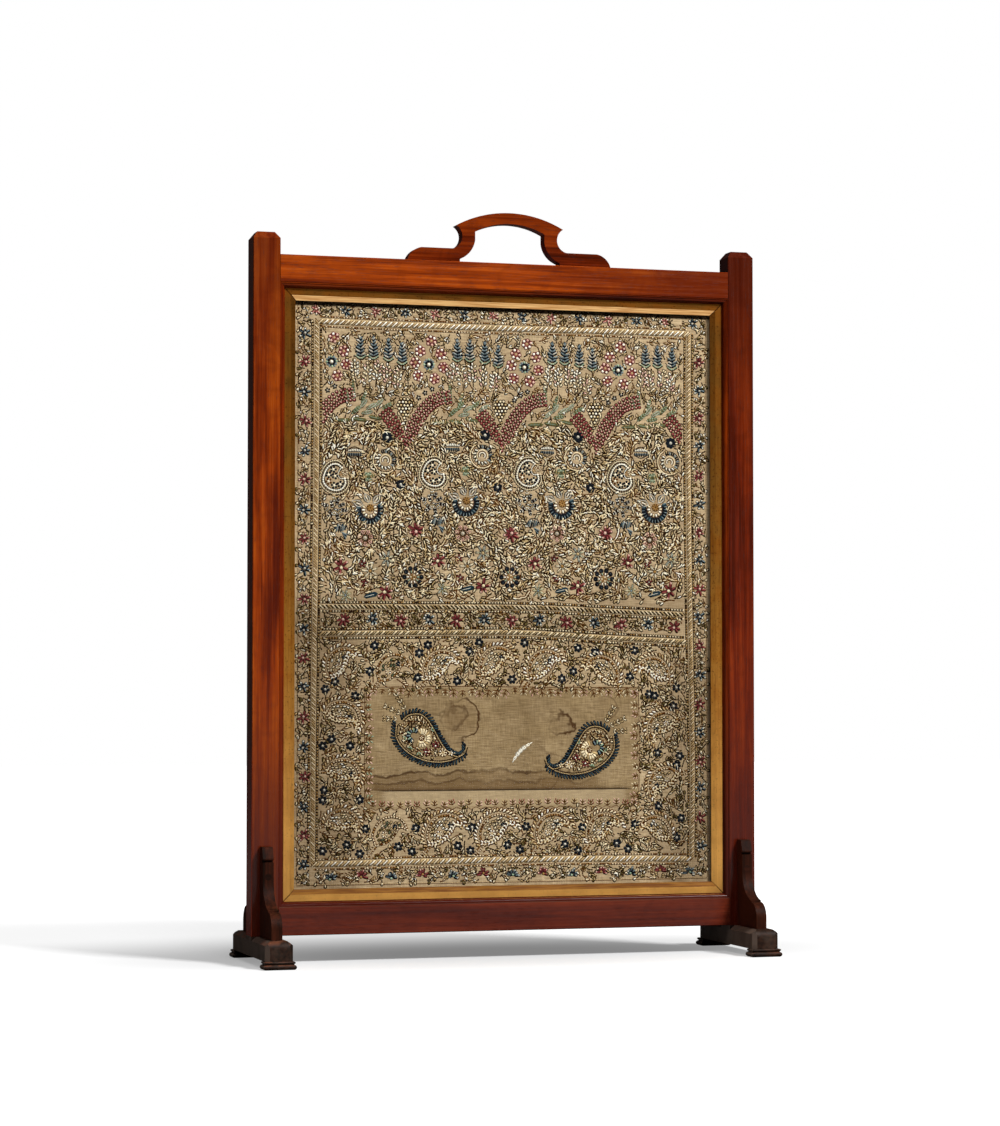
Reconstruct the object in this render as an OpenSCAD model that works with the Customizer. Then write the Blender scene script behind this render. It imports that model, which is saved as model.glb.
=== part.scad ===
// Fire screen: a mahogany frame on two sledge feet, holding a glazed embroidered panel.
// Millimetres. +Z is up, the front faces -Y, and the origin is on the floor midway between the feet.

/* [Screen] */
// Width over the two posts
screen_w = 640; // [520:5:800]
// Height of the post tops above the floor
post_top = 875; // [700:5:1050]
// How far the posts stand above the top rail
post_rise = 27; // [16:1:60]

/* [Posts] */
// Width of a post across the front
post_w = 33.5; // [28:0.5:44]
// Depth of a post from front to back
post_d = 30; // [28:0.5:38]
// Bevel of a post top, measured inwards
cap_in = 6; // [3:0.5:9]
// Bevel of a post top, measured downwards
cap_down = 8; // [3:0.5:12]
// Softened long edges of posts and rails
arris = 0.8; // [0.4:0.1:1.6]

/* [Rails] */
// Height of the top and bottom rails
rail_h = 33.5; // [26:0.5:50]
// Thickness of the rail tenons
tenon_t = 10; // [6:0.5:14]
// Length of the rail tenons in the posts
tenon_l = 22; // [12:1:24]
// Play between a tenon and its mortise, each side
joint_play = 0.1; // [0.05:0.05:0.3]

/* [Sight moulding] */
// Width of the ovolo moulding round the opening
moulding_w = 6.5; // [5:0.5:9]
// Depth of the ovolo moulding
moulding_d = 7; // [6:0.5:8]

/* [Gilt slip] */
// Visible flat band of the slip
slip_flat = 8; // [5:0.5:12]
// Bevelled inner band of the slip
slip_bevel = 6; // [4:0.5:9]
// Thickness of the slip
slip_t = 5; // [4:0.5:6]
// Fall of the bevel towards the glass
slip_fall = 3; // [2:0.5:3.5]

/* [Panel] */
// Thickness of the glass
glass_t = 2; // [1.5:0.5:3]
// Thickness of the worked linen
cloth_t = 0.8; // [0.5:0.1:1.2]
// Width of the strainer bars
strainer_w = 32; // [20:1:45]
// Thickness of the back board
board_t = 4; // [3:0.5:5]
// Width of the back bead
bead_w = 8; // [6:0.5:12]
// Depth of the back bead
bead_d = 4; // [3:0.5:5]
// Diameter of the bead pins
pin_d = 1.4; // [1:0.1:2]

/* [Handle] */
// Length of the handle on the rail
handle_l = 261; // [230:1:320]
// Height of the handle above the rail
handle_h = 63; // [58:0.5:70]
// Thickness of the handle board
handle_t = 16.5; // [12:0.5:22]
// How far the handle stands to the right of the middle
handle_shift = 3; // [0:0.5:6]
// Height of the handle's flat shoulders
shoulder_h = 16.6; // [14:0.2:18]
// Radius of the arched top
arch_r = 142; // [130:1:160]
// Radius of the underside of the arch
grip_r = 94; // [88:1:110]
// Depth of the grip at its middle
grip_depth = 13.4; // [11:0.2:16]
// Diameter of the handle dowels
dowel_d = 8; // [6:0.5:10]

/* [Feet] */
// How far a foot bar runs in front of and behind its post
foot_reach = 80; // [70:1:110]
// Height of a foot bar
bar_h = 23.5; // [20:0.5:32]
// Height of a foot pad
pad_h = 9.5; // [9:0.5:13]
// Length of a foot pad
pad_l = 22; // [18:1:32]
// How far a pad's bead stands out beyond the bar
pad_out = 3; // [2:0.5:5]
// Bevel of the bar's top corners, measured inwards
bar_bevel_in = 6.5; // [3:0.5:9]
// Bevel of the bar's top corners, measured downwards
bar_bevel_down = 5; // [3:0.5:8]
// Radius of the bar's ends, seen from the side
bar_nose_r = 9; // [5:0.5:12]

/* [Brackets] */
// Thickness of a bracket
bracket_t = 13; // [10:0.5:16]
// Reach of a bracket along the foot bar
bracket_reach = 64.5; // [60:0.5:68]
// Thickness of a bracket's stem in front of the post
stem_reach = 16.8; // [14:0.2:20]
// Radius of the round toe of a bracket
toe_r = 18.7; // [15:0.1:20]
// Radius of the hollow above the toe
hollow_r = 34; // [30:0.5:36]
// Diameter of the pellets over the bracket screws
pellet_d = 8; // [7:0.5:9]

/* [Hidden] */
$fn = 96;
eps = 0.01;
half_w = screen_w / 2;
post_x = half_w - post_w / 2;
bar_top = pad_h + bar_h;
rail_top = post_top - post_rise;
open_w = screen_w - 2 * post_w;
open_z0 = bar_top + rail_h;
open_z1 = rail_top - rail_h;
open_h = open_z1 - open_z0;
open_mid = (open_z0 + open_z1) / 2;
front = -post_d / 2;
back = post_d / 2;
// Depths behind the front face at which each layer of the panel begins
slip_v = moulding_d;
glass_v = slip_v + slip_t;
cloth_v = glass_v + glass_t;
strainer_v = cloth_v + cloth_t;
bead_v = post_d - bead_d;
board_v = bead_v - board_t;
strainer_t = board_v - strainer_v;
slip_w = moulding_w + slip_flat + slip_bevel;
edge_play = 0.5;
linen_edge = 1.5;
// Post foot tenon
foot_tenon_w = post_w - 16;
foot_tenon_d = post_d - 12;
foot_tenon_h = 14;
mortise_h = rail_h - 10;
// Bracket heights, measured from the top of the foot bar
toe_rise = 13;
toe_top = toe_rise + toe_r;
hollow_z = toe_top + 1.5 + hollow_r;
groove_z = hollow_z + 21;
head_z = groove_z + 3;
bracket_h = head_z + 15;
screw_z = hollow_z + 4;
screw_d = 4;
screw_head_d = 7;
screw_head_t = 3;
pellet_t = 4;
screw_in_post = 11;
// Handle shape, measured from the rail's upper edge and the handle's middle
half_l = handle_l / 2;
toe_arc_r = 22;
neck_half = 60.8;
neck_r = 15.6;
grip_half = 44.2;
sweep_r = 30;
neck_z = shoulder_h + neck_r;
hollow_x = neck_half + neck_r;
// Small amount by which arcs cut past the lines they run into
bite = 0.3;
toe_arc_z = shoulder_h + bite - toe_arc_r;
toe_arc_x = half_l - sqrt(toe_arc_r * toe_arc_r - toe_arc_z * toe_arc_z);
seat_x = 64;
dowel_x = 98;
dowel_up = 11;
dowel_down = 18;

mahogany = [0.42, 0.16, 0.07];
dark_mahogany = [0.2, 0.1, 0.07];
gilt = [0.78, 0.58, 0.28];
linen = [0.66, 0.58, 0.43];
pine = [0.72, 0.56, 0.36];
steel = [0.55, 0.55, 0.57];
brass = [0.7, 0.55, 0.25];
clear = [0.85, 0.92, 0.92, 0.3];

// A rectangle with its four corners taken off by c
module soft_square(w, d, c) {
  x = w / 2;
  y = d / 2;
  polygon([[-x + c, -y], [x - c, -y], [x, -y + c], [x, y - c], [x - c, y], [-x + c, y], [-x, y - c], [-x, -y + c]]);
}

// Outline of something w wide and h high whose upper corners are bevelled
module bevelled_top(w, h, inwards, down) {
  x = w / 2;
  polygon([[-x, 0], [x, 0], [x, h - down], [x - inwards, h], [-x + inwards, h], [-x, h - down]]);
}

// The square shaft of a post, its bevelled top included, standing on the foot bar
module post_shaft() {
  h = post_top - bar_top;
  intersection() {
    linear_extrude(h) soft_square(post_w, post_d, arris);
    rotate([90, 0, 0]) linear_extrude(post_d + 2, center = true) bevelled_top(post_w, h, cap_in, cap_down);
    rotate([90, 0, 90]) linear_extrude(post_w + 2, center = true) bevelled_top(post_d, h, cap_in, cap_down);
  }
}

// The hole for a rail tenon, cut from the inner side of the right post
module rail_mortise(z) {
  w = tenon_l + 1;
  translate([-post_w / 2 - eps, -tenon_t / 2 - joint_play, z - mortise_h / 2 - joint_play])
    cube([w, tenon_t + 2 * joint_play, mortise_h + 2 * joint_play]);
}

// Holes in the inner side of the right post for the pins of the back bead
module post_pin_holes() {
  for (z = side_pin_z)
    translate([-post_w / 2 - eps, pin_y, z - bar_top])
      rotate([0, 90, 0]) cylinder(h = pin_bite + eps, d = pin_d, $fn = 24);
}

// The right post, drawn with its own middle at x = 0 and its shoulder at z = 0
module post() {
  difference() {
    union() {
      post_shaft();
      translate([-foot_tenon_w / 2, -foot_tenon_d / 2, -foot_tenon_h])
        cube([foot_tenon_w, foot_tenon_d, foot_tenon_h + 1]);
    }
    rail_mortise(rail_h / 2);
    rail_mortise(rail_top - rail_h / 2 - bar_top);
    post_pin_holes();
    for (s = [-1, 1])
      translate([0, s * (post_d / 2 - screw_in_post), screw_z])
        rotate([-s * 90, 0, 0]) cylinder(h = screw_in_post + 1, d = screw_d, $fn = 24);
  }
}

// A rail with a tenon at each end, drawn about its own middle
module rail() {
  rotate([90, 0, 90]) linear_extrude(open_w, center = true) soft_square(post_d, rail_h, arris);
  for (s = [-1, 1])
    translate([s * (open_w / 2 + tenon_l / 2 - 0.5), 0, 0])
      cube([tenon_l + 1, tenon_t, mortise_h], center = true);
}

// Puts a length drawn along the bottom of the opening on the side asked for
module on_side(side) {
  if (side == "bottom") translate([0, front, open_z0]) children();
  if (side == "top") translate([0, front, open_z1]) mirror([0, 0, 1]) children();
  if (side == "left") translate([-open_w / 2, front, open_mid]) rotate([0, 90, 0]) children();
  if (side == "right") translate([open_w / 2, front, open_mid]) mirror([1, 0, 0]) rotate([0, 90, 0]) children();
}

function side_length(side) = (side == "top" || side == "bottom") ? open_w : open_h;

// A mitred length: the section is drawn as depth from the front, then distance in from the opening's edge
module mitred(len, w, inset) {
  x = len / 2;
  intersection() {
    rotate([90, 0, 90]) linear_extrude(len, center = true) children();
    rotate([90, 0, 0]) linear_extrude(4 * post_d, center = true)
      polygon([[-x + inset, inset], [x - inset, inset], [x - w, w], [-x + w, w]]);
  }
}

// Section of the ovolo moulding: a fillet, a quarter round and a lower fillet
module moulding_section() {
  fillet = 0.8;
  round_r = min(moulding_w - 2 * fillet, moulding_d - 2);
  floor_v = moulding_d - 0.9;
  translate([0.4, 0]) square([moulding_d - 0.4, fillet]);
  translate([floor_v, 0]) square([moulding_d - floor_v, moulding_w]);
  intersection() {
    translate([floor_v, fillet - 0.1]) circle(r = round_r);
    translate([0, fillet - 0.1]) square([floor_v + eps, round_r + 1]);
  }
}

module moulding(side) {
  on_side(side) mitred(side_length(side), moulding_w, 0) moulding_section();
}

// Section of the gilt slip: a tongue under the moulding, a flat band and a bevel
module slip_section() {
  a = moulding_w + slip_flat;
  polygon([[slip_v, edge_play], [slip_v, a], [slip_v + slip_fall, slip_w], [glass_v, slip_w], [glass_v, edge_play]]);
}

module slip(side) {
  on_side(side) mitred(side_length(side), slip_w, edge_play) slip_section();
}

// A flat sheet that fills the opening, with play round its edges
module sheet(v, t, play) {
  translate([-open_w / 2 + play, front + v, open_z0 + play]) cube([open_w - 2 * play, t, open_h - 2 * play]);
}

// A strainer bar across the opening; its ends are half lapped on the back
module strainer_across(z) {
  w = open_w - 2 * linen_edge;
  difference() {
    translate([-w / 2, front + strainer_v, z]) cube([w, strainer_t, strainer_w]);
    for (s = [-1, 1])
      translate([s * (w / 2 - strainer_w / 2) - strainer_w / 2 - eps, front + strainer_v + strainer_t / 2, z - eps])
        cube([strainer_w + 2 * eps, strainer_t, strainer_w + 2 * eps]);
  }
}

// A strainer bar up the opening; its ends are half lapped on the front
module strainer_upright(x) {
  h = open_h - 2 * linen_edge;
  z = open_z0 + linen_edge;
  difference() {
    translate([x, front + strainer_v, z]) cube([strainer_w, strainer_t, h]);
    for (low = [z, z + h - strainer_w])
      translate([x - eps, front + strainer_v - 1, low - eps])
        cube([strainer_w + 2 * eps, strainer_t / 2 + 1, strainer_w + 2 * eps]);
  }
}

// Places of the pins that hold the back bead
pin_y = back - bead_d / 2;
pin_bite = 9;
pin_in = 0.6;
side_pin_z = [for (k = [-2:2]) open_mid + k * open_h * 0.21];
rail_pin_x = [for (k = [-1:1]) k * open_w * 0.3];

// Section of the back bead: a small rounded fillet
module bead_section() {
  r = bead_d * 0.5;
  translate([bead_v, 0]) square([bead_d, bead_w - r]);
  translate([bead_v, 0]) square([bead_d - r, bead_w]);
  translate([bead_v + bead_d - r, bead_w - r]) circle(r = r);
}

module pin_along_x(x, z, s) {
  translate([x, pin_y, z]) rotate([0, s * 90, 0]) cylinder(h = bead_w + pin_bite - pin_in, d = pin_d, $fn = 24);
}

module pin_along_z(x, z, s) {
  translate([x, pin_y, z]) rotate([s > 0 ? 0 : 180, 0, 0])
    cylinder(h = bead_w + pin_bite - pin_in, d = pin_d, $fn = 24);
}

module bead_pins() {
  for (s = [-1, 1]) {
    for (z = side_pin_z) pin_along_x(s * (open_w / 2 - bead_w + pin_in), z, s);
  }
  for (x = rail_pin_x) {
    pin_along_z(x, open_z1 - bead_w + pin_in, 1);
    pin_along_z(x, open_z0 + bead_w - pin_in, -1);
  }
}

// Holes through the bead for its pins
module bead_pin_holes() {
  for (s = [-1, 1]) {
    for (z = side_pin_z)
      translate([s * (open_w / 2 - bead_w - 1), pin_y, z])
        rotate([0, s * 90, 0]) cylinder(h = bead_w + 2, d = pin_d, $fn = 24);
  }
  for (x = rail_pin_x) {
    translate([x, pin_y, open_z1 - bead_w - 1]) cylinder(h = bead_w + 2, d = pin_d, $fn = 24);
    translate([x, pin_y, open_z0 - 1]) cylinder(h = bead_w + 2, d = pin_d, $fn = 24);
  }
}

module bead(side) {
  difference() {
    on_side(side) mitred(side_length(side), bead_w, 0) bead_section();
    bead_pin_holes();
  }
}

// The uncut board: an arched middle on two low shoulders with rounded toes
module handle_board() {
  intersection() {
    translate([0, handle_h - arch_r]) circle(r = arch_r, $fn = 256);
    translate([-hollow_x, 0]) square([2 * hollow_x, handle_h + 1]);
  }
  translate([-toe_arc_x, 0]) square([2 * toe_arc_x, shoulder_h]);
  for (s = [-1, 1]) intersection() {
    translate([s * toe_arc_x, toe_arc_z]) circle(r = toe_arc_r);
    translate([s * (toe_arc_x + 10) - 15, 0]) square([30, shoulder_h]);
  }
}

// The hollow above a shoulder, under the tip of the ear
module handle_hollow() {
  intersection() {
    translate([hollow_x, neck_z - bite]) circle(r = neck_r);
    translate([0, shoulder_h]) square([2 * hollow_x, handle_h]);
  }
  translate([hollow_x, shoulder_h]) square([toe_arc_r + handle_l, handle_h]);
}

// The hand hole: an arched upper part over two outward sweeps that run down to the rail
module hand_hole() {
  side = grip_half + bite;
  intersection() {
    translate([0, handle_h - grip_depth - grip_r]) circle(r = grip_r, $fn = 256);
    translate([-side, neck_z - 6]) square([2 * side, handle_h]);
  }
  difference() {
    translate([-seat_x, -1]) square([2 * seat_x, neck_z + 1]);
    for (s = [-1, 1]) translate([s * (grip_half + sweep_r), neck_z]) circle(r = sweep_r);
  }
}

module handle_outline() {
  difference() {
    handle_board();
    handle_hollow();
    mirror([1, 0]) handle_hollow();
    hand_hole();
  }
}

module dowels() {
  for (s = [-1, 1])
    translate([handle_shift + s * dowel_x, 0, rail_top - dowel_down])
      cylinder(h = dowel_up + dowel_down, d = dowel_d, $fn = 48);
}

module handle() {
  difference() {
    translate([handle_shift, 0, rail_top])
      rotate([90, 0, 0]) linear_extrude(handle_t, center = true) handle_outline();
    dowels();
  }
}

// Plan of the foot bar: its four upright corners are bevelled
module bar_plan() {
  l = post_d + 2 * foot_reach;
  soft_square(post_w, l, 5);
}

// Side view of the foot bar: straight below, its upper ends rounded
module bar_side() {
  l = post_d + 2 * foot_reach;
  y = l / 2 - bar_nose_r;
  translate([-l / 2, 0]) square([l, bar_h - bar_nose_r]);
  translate([-y, 0]) square([2 * y, bar_h]);
  for (s = [-1, 1]) translate([s * y, bar_h - bar_nose_r]) circle(r = bar_nose_r);
}

// A foot bar about its own middle; under the post and brackets its section is a full square
module foot_bar() {
  l = post_d + 2 * foot_reach;
  translate([0, 0, pad_h]) difference() {
    intersection() {
      union() {
        translate([-post_w / 2, -post_d / 2, 0]) cube([post_w, post_d, bar_h]);
        rotate([90, 0, 0]) linear_extrude(l, center = true) bevelled_top(post_w, bar_h, bar_bevel_in, bar_bevel_down);
      }
      linear_extrude(bar_h) bar_plan();
      rotate([90, 0, 90]) linear_extrude(post_w + 2, center = true) bar_side();
    }
    translate([-foot_tenon_w / 2 - joint_play, -foot_tenon_d / 2 - joint_play, bar_h - foot_tenon_h - 0.5])
      cube([foot_tenon_w + 2 * joint_play, foot_tenon_d + 2 * joint_play, foot_tenon_h + 1]);
  }
}

// Outline of a pad l long over its lower bead
module pad_outline(l) {
  low_h = pad_h * 0.62;
  low_r = low_h / 2;
  high_h = pad_h * 0.27;
  high_r = high_h / 2;
  translate([-l / 2 + low_r, 0]) square([l - 2 * low_r, low_h]);
  for (s = [-1, 1]) translate([s * (l / 2 - low_r), low_r]) circle(r = low_r);
  translate([-l / 2 + 2.4, 0]) square([l - 4.8, pad_h]);
  translate([-l / 2 + 1.2 + high_r, pad_h - high_h]) square([l - 2.4 - 2 * high_r, high_h]);
  for (s = [-1, 1]) translate([s * (l / 2 - 1.2 - high_r), pad_h - high_r]) circle(r = high_r);
}

// A pad about its own middle: the moulded edge runs round all four sides
module pad() {
  w = post_w + 2 * pad_out;
  intersection() {
    rotate([90, 0, 0]) linear_extrude(pad_l + 1, center = true) pad_outline(w);
    rotate([90, 0, 90]) linear_extrude(w + 1, center = true) pad_outline(pad_l);
  }
}

module place_pad(sx, sy) {
  y = post_d / 2 + foot_reach + pad_out - pad_l / 2;
  translate([sx * post_x, sy * y, 0]) pad();
}

// Outline of a bracket: reach from the post, then height above the foot bar
module bracket_outline() {
  difference() {
    square([bracket_reach - toe_r, hollow_z]);
    translate([stem_reach + hollow_r, hollow_z]) circle(r = hollow_r);
  }
  square([bracket_reach, toe_rise]);
  square([bracket_reach - toe_r, toe_top]);
  intersection() {
    translate([bracket_reach - toe_r, toe_rise]) circle(r = toe_r);
    translate([bracket_reach - toe_r - 1, toe_rise - eps]) square([toe_r + 2, toe_r + 1]);
  }
  square([stem_reach, groove_z]);
  square([stem_reach - 3.4, head_z + 1]);
  polygon([[0, head_z], [stem_reach, head_z], [stem_reach, head_z + 1.6], [12.6, bracket_h - 1.6],
    [11.2, bracket_h], [0, bracket_h]]);
}

// Screw and pellet hole through a bracket's stem, its axis along the reach
module bracket_bore() {
  translate([-1, screw_z, 0]) rotate([0, 90, 0]) cylinder(h = stem_reach + 2, d = screw_d, $fn = 24);
  translate([stem_reach - pellet_t - screw_head_t, screw_z, 0])
    rotate([0, 90, 0]) cylinder(h = screw_head_t + eps, d = screw_head_d, $fn = 32);
  translate([stem_reach - pellet_t, screw_z, 0])
    rotate([0, 90, 0]) cylinder(h = pellet_t + 1, d = pellet_d, $fn = 32);
}

// Stands a flat shape on the foot bar with its reach running away from the post
module stand(sx, sy) {
  translate([sx * post_x, sy * post_d / 2, bar_top])
    rotate([90, 0, sy * 90]) children();
}

module bracket(sx, sy) {
  stand(sx, sy) difference() {
    linear_extrude(bracket_t, center = true) bracket_outline();
    bracket_bore();
  }
}

module bracket_screws() {
  for (sx = [-1, 1], sy = [-1, 1]) stand(sx, sy) {
    translate([-screw_in_post, screw_z, 0])
      rotate([0, 90, 0]) cylinder(h = screw_in_post + stem_reach - pellet_t - 1, d = screw_d, $fn = 24);
    translate([stem_reach - pellet_t - screw_head_t, screw_z, 0])
      rotate([0, 90, 0]) cylinder(h = screw_head_t, d = screw_head_d, $fn = 32);
  }
}

module bracket_pellets() {
  for (sx = [-1, 1], sy = [-1, 1]) stand(sx, sy)
    translate([stem_reach - pellet_t, screw_z, 0])
      rotate([0, 90, 0]) cylinder(h = pellet_t, d = pellet_d, $fn = 32);
}

module right_post() {
  color(mahogany) translate([post_x, 0, bar_top]) post();
}

module left_post() {
  color(mahogany) mirror([1, 0, 0]) translate([post_x, 0, bar_top]) post();
}

// Holes in the rails for the bead's pins
module rail_pin_holes() {
  for (x = rail_pin_x) {
    translate([x, pin_y, open_z1 - 1]) cylinder(h = pin_bite + 1, d = pin_d, $fn = 24);
    translate([x, pin_y, open_z0 - pin_bite]) cylinder(h = pin_bite + 1, d = pin_d, $fn = 24);
  }
}

module top_rail() {
  color(mahogany) difference() {
    translate([0, 0, rail_top - rail_h / 2]) rail();
    dowels();
    rail_pin_holes();
  }
}

module bottom_rail() {
  color(mahogany) difference() {
    translate([0, 0, bar_top + rail_h / 2]) rail();
    rail_pin_holes();
  }
}

left_post();
right_post();
top_rail();
bottom_rail();
color(mahogany) moulding("top");  // moulding_top
color(mahogany) moulding("bottom");  // moulding_bottom
color(mahogany) moulding("left");  // moulding_left
color(mahogany) moulding("right");  // moulding_right
color(gilt) slip("top");  // gilt_slip_top
color(gilt) slip("bottom");  // gilt_slip_bottom
color(gilt) slip("left");  // gilt_slip_left
color(gilt) slip("right");  // gilt_slip_right
color(clear) sheet(glass_v, glass_t, edge_play);  // glass_pane
color(linen) sheet(cloth_v, cloth_t, linen_edge);  // embroidered_panel
color(pine) strainer_across(open_z1 - linen_edge - strainer_w);  // strainer_top
color(pine) strainer_across(open_z0 + linen_edge);  // strainer_bottom
color(pine) strainer_upright(-open_w / 2 + linen_edge);  // strainer_left
color(pine) strainer_upright(open_w / 2 - linen_edge - strainer_w);  // strainer_right
color(pine) sheet(board_v, board_t, edge_play);  // back_board
color(mahogany) bead("top");  // back_bead_top
color(mahogany) bead("bottom");  // back_bead_bottom
color(mahogany) bead("left");  // back_bead_left
color(mahogany) bead("right");  // back_bead_right
color(brass) bead_pins();
color(mahogany) handle();
color(pine) dowels();  // handle_dowels
color(dark_mahogany) translate([-post_x, 0, 0]) foot_bar();  // left_foot_bar
color(dark_mahogany) translate([post_x, 0, 0]) foot_bar();  // right_foot_bar
color(dark_mahogany) place_pad(-1, -1);  // left_front_pad
color(dark_mahogany) place_pad(-1, 1);  // left_rear_pad
color(dark_mahogany) place_pad(1, -1);  // right_front_pad
color(dark_mahogany) place_pad(1, 1);  // right_rear_pad
color(dark_mahogany) bracket(-1, -1);  // left_front_bracket
color(dark_mahogany) bracket(-1, 1);  // left_rear_bracket
color(dark_mahogany) bracket(1, -1);  // right_front_bracket
color(dark_mahogany) bracket(1, 1);  // right_rear_bracket
color(steel) bracket_screws();
color(dark_mahogany) bracket_pellets();
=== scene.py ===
"""Fire screen: waxed mahogany frame on sledge feet, gilt slip, glazed linen panel worked in coloured silks."""
import math
import random
from collections import defaultdict

import bmesh
import bpy
from mathutils import Matrix, Vector


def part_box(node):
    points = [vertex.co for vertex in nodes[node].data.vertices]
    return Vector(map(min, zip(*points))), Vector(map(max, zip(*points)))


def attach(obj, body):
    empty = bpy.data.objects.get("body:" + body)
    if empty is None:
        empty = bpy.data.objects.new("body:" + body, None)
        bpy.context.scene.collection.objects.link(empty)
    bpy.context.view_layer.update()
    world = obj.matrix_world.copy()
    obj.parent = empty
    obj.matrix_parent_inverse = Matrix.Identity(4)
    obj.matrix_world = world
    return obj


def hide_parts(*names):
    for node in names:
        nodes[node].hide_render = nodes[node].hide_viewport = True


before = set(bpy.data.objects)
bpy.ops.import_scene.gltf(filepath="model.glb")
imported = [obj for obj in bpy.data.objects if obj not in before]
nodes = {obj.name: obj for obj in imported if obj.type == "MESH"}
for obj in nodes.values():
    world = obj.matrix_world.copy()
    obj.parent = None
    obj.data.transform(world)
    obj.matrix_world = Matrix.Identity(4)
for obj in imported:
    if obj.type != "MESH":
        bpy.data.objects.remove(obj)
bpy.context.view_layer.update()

MM = 0.001
chance = random.Random(1851)

# Camera
LENS = 98.4
EYE = (-1.09632, -3.60842, 0.32945)
TURN = 0.2931
TILT = 0.0401


def make_camera():
    forward = Vector((math.sin(TURN) * math.cos(TILT), math.cos(TURN) * math.cos(TILT), math.sin(TILT)))
    data = bpy.data.cameras.new("camera")
    data.lens = LENS
    data.sensor_width = 36
    data.clip_end = 60
    camera = bpy.data.objects.new("camera", data)
    bpy.context.scene.collection.objects.link(camera)
    camera.location = EYE
    camera.rotation_mode = "QUATERNION"
    camera.rotation_quaternion = forward.to_track_quat("-Z", "Y")
    bpy.context.scene.camera = camera


make_camera()
bpy.context.scene.view_settings.view_transform = "Standard"


# Shader writing
def srgb(r, g, b):
    """A colour read as 0 to 255 on a screen, as the light it stands for."""
    def one(c):
        c /= 255
        return c / 12.92 if c <= 0.04045 else ((c + 0.055) / 1.055) ** 2.4
    return (one(r), one(g), one(b), 1.0)


class Wire:
    """A socket of a finish's node tree that can be used in sums."""

    def __init__(self, tree, socket):
        self.tree = tree
        self.socket = socket

    def maths(self, how, a, b):
        return add_node(self.tree, "ShaderNodeMath", {"operation": how}, {0: a, 1: b})

    def __add__(self, other):
        return self.maths("ADD", self, other)

    def __radd__(self, other):
        return self.maths("ADD", other, self)

    def __sub__(self, other):
        return self.maths("SUBTRACT", self, other)

    def __rsub__(self, other):
        return self.maths("SUBTRACT", other, self)

    def __mul__(self, other):
        return self.maths("MULTIPLY", self, other)

    def __rmul__(self, other):
        return self.maths("MULTIPLY", other, self)

    def __truediv__(self, other):
        return self.maths("DIVIDE", self, other)

    def __pow__(self, other):
        return self.maths("POWER", self, other)


def add_node(tree, kind, settings=None, sockets=None, output=0):
    """Adds a node with its settings, then its socket values or links, and returns one of its outputs."""
    node = tree.nodes.new(kind)
    for name, value in (settings or {}).items():
        if name == "stops":
            ramp = node.color_ramp
            while len(ramp.elements) < len(value):
                ramp.elements.new(0.5)
            for element, (place, colour) in zip(ramp.elements, value):
                element.position = place
                element.color = colour
        else:
            setattr(node, name, value)
    for name, value in (sockets or {}).items():
        if isinstance(value, Wire):
            tree.links.new(value.socket, node.inputs[name])
        else:
            node.inputs[name].default_value = value
    return Wire(tree, node.outputs[output])


class Finish:
    """A surface finish under construction: places on the piece, noises, mixes and the final shader."""

    def __init__(self, name):
        self.material = bpy.data.materials.new(name)
        self.material.use_nodes = True
        self.tree = self.material.node_tree
        self.tree.nodes.clear()
        self.place = self.node("ShaderNodeTexCoord", output="Object")

    def node(self, kind, settings=None, sockets=None, output=0):
        return add_node(self.tree, kind, settings, sockets, output)

    def stretched(self, scale, shift=(0, 0, 0)):
        return self.node("ShaderNodeMapping", None, {"Vector": self.place, "Scale": scale, "Location": shift})

    def noise(self, scale, shift=(0, 0, 0), detail=3.0, rough=0.5, bend=0.0):
        where = self.stretched(scale, shift)
        sockets = {"Vector": where, "Scale": 1.0, "Detail": detail, "Roughness": rough, "Distortion": bend}
        return self.node("ShaderNodeTexNoise", None, sockets)

    def spread(self, value, low, high, to_low=0.0, to_high=1.0):
        """Stretches low..high of a value to 0..1, held at the ends."""
        sockets = {"Value": value, "From Min": low, "From Max": high, "To Min": to_low, "To Max": to_high}
        return self.node("ShaderNodeMapRange", {"interpolation_type": "SMOOTHSTEP"}, sockets)

    def mix(self, share, a, b, how="MIX"):
        settings = {"data_type": "RGBA", "blend_type": how}
        return self.node("ShaderNodeMix", settings, {0: share, 6: a, 7: b}, output=2)

    def axes(self):
        """The three coordinates of a place, in metres."""
        node = self.tree.nodes.new("ShaderNodeSeparateXYZ")
        self.tree.links.new(self.place.socket, node.inputs[0])
        return [Wire(self.tree, o) for o in node.outputs]

    def facing(self):
        """The three parts of the direction that a face looks in."""
        node = self.tree.nodes.new("ShaderNodeSeparateXYZ")
        normal = self.node("ShaderNodeNewGeometry", output="Normal")
        self.tree.links.new(normal.socket, node.inputs[0])
        return [Wire(self.tree, o) for o in node.outputs]

    def bump(self, height, strength, depth):
        sockets = {"Height": height, "Strength": strength, "Distance": depth}
        return self.node("ShaderNodeBump", None, sockets, output="Normal")

    def shade(self, **sockets):
        shader = self.node("ShaderNodeBsdfPrincipled", None, {k.replace("_", " "): v for k, v in sockets.items()})
        self.node_output(shader)
        return self.material

    def node_output(self, shader):
        out = self.tree.nodes.new("ShaderNodeOutputMaterial")
        self.tree.links.new(shader.socket, out.inputs["Surface"])


# Finishes
AXES = {"x": 0, "y": 1, "z": 2}


def grain_scale(along, across, lengthwise):
    scale = [across, across, across]
    scale[AXES[along]] = lengthwise
    return tuple(scale)


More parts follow.
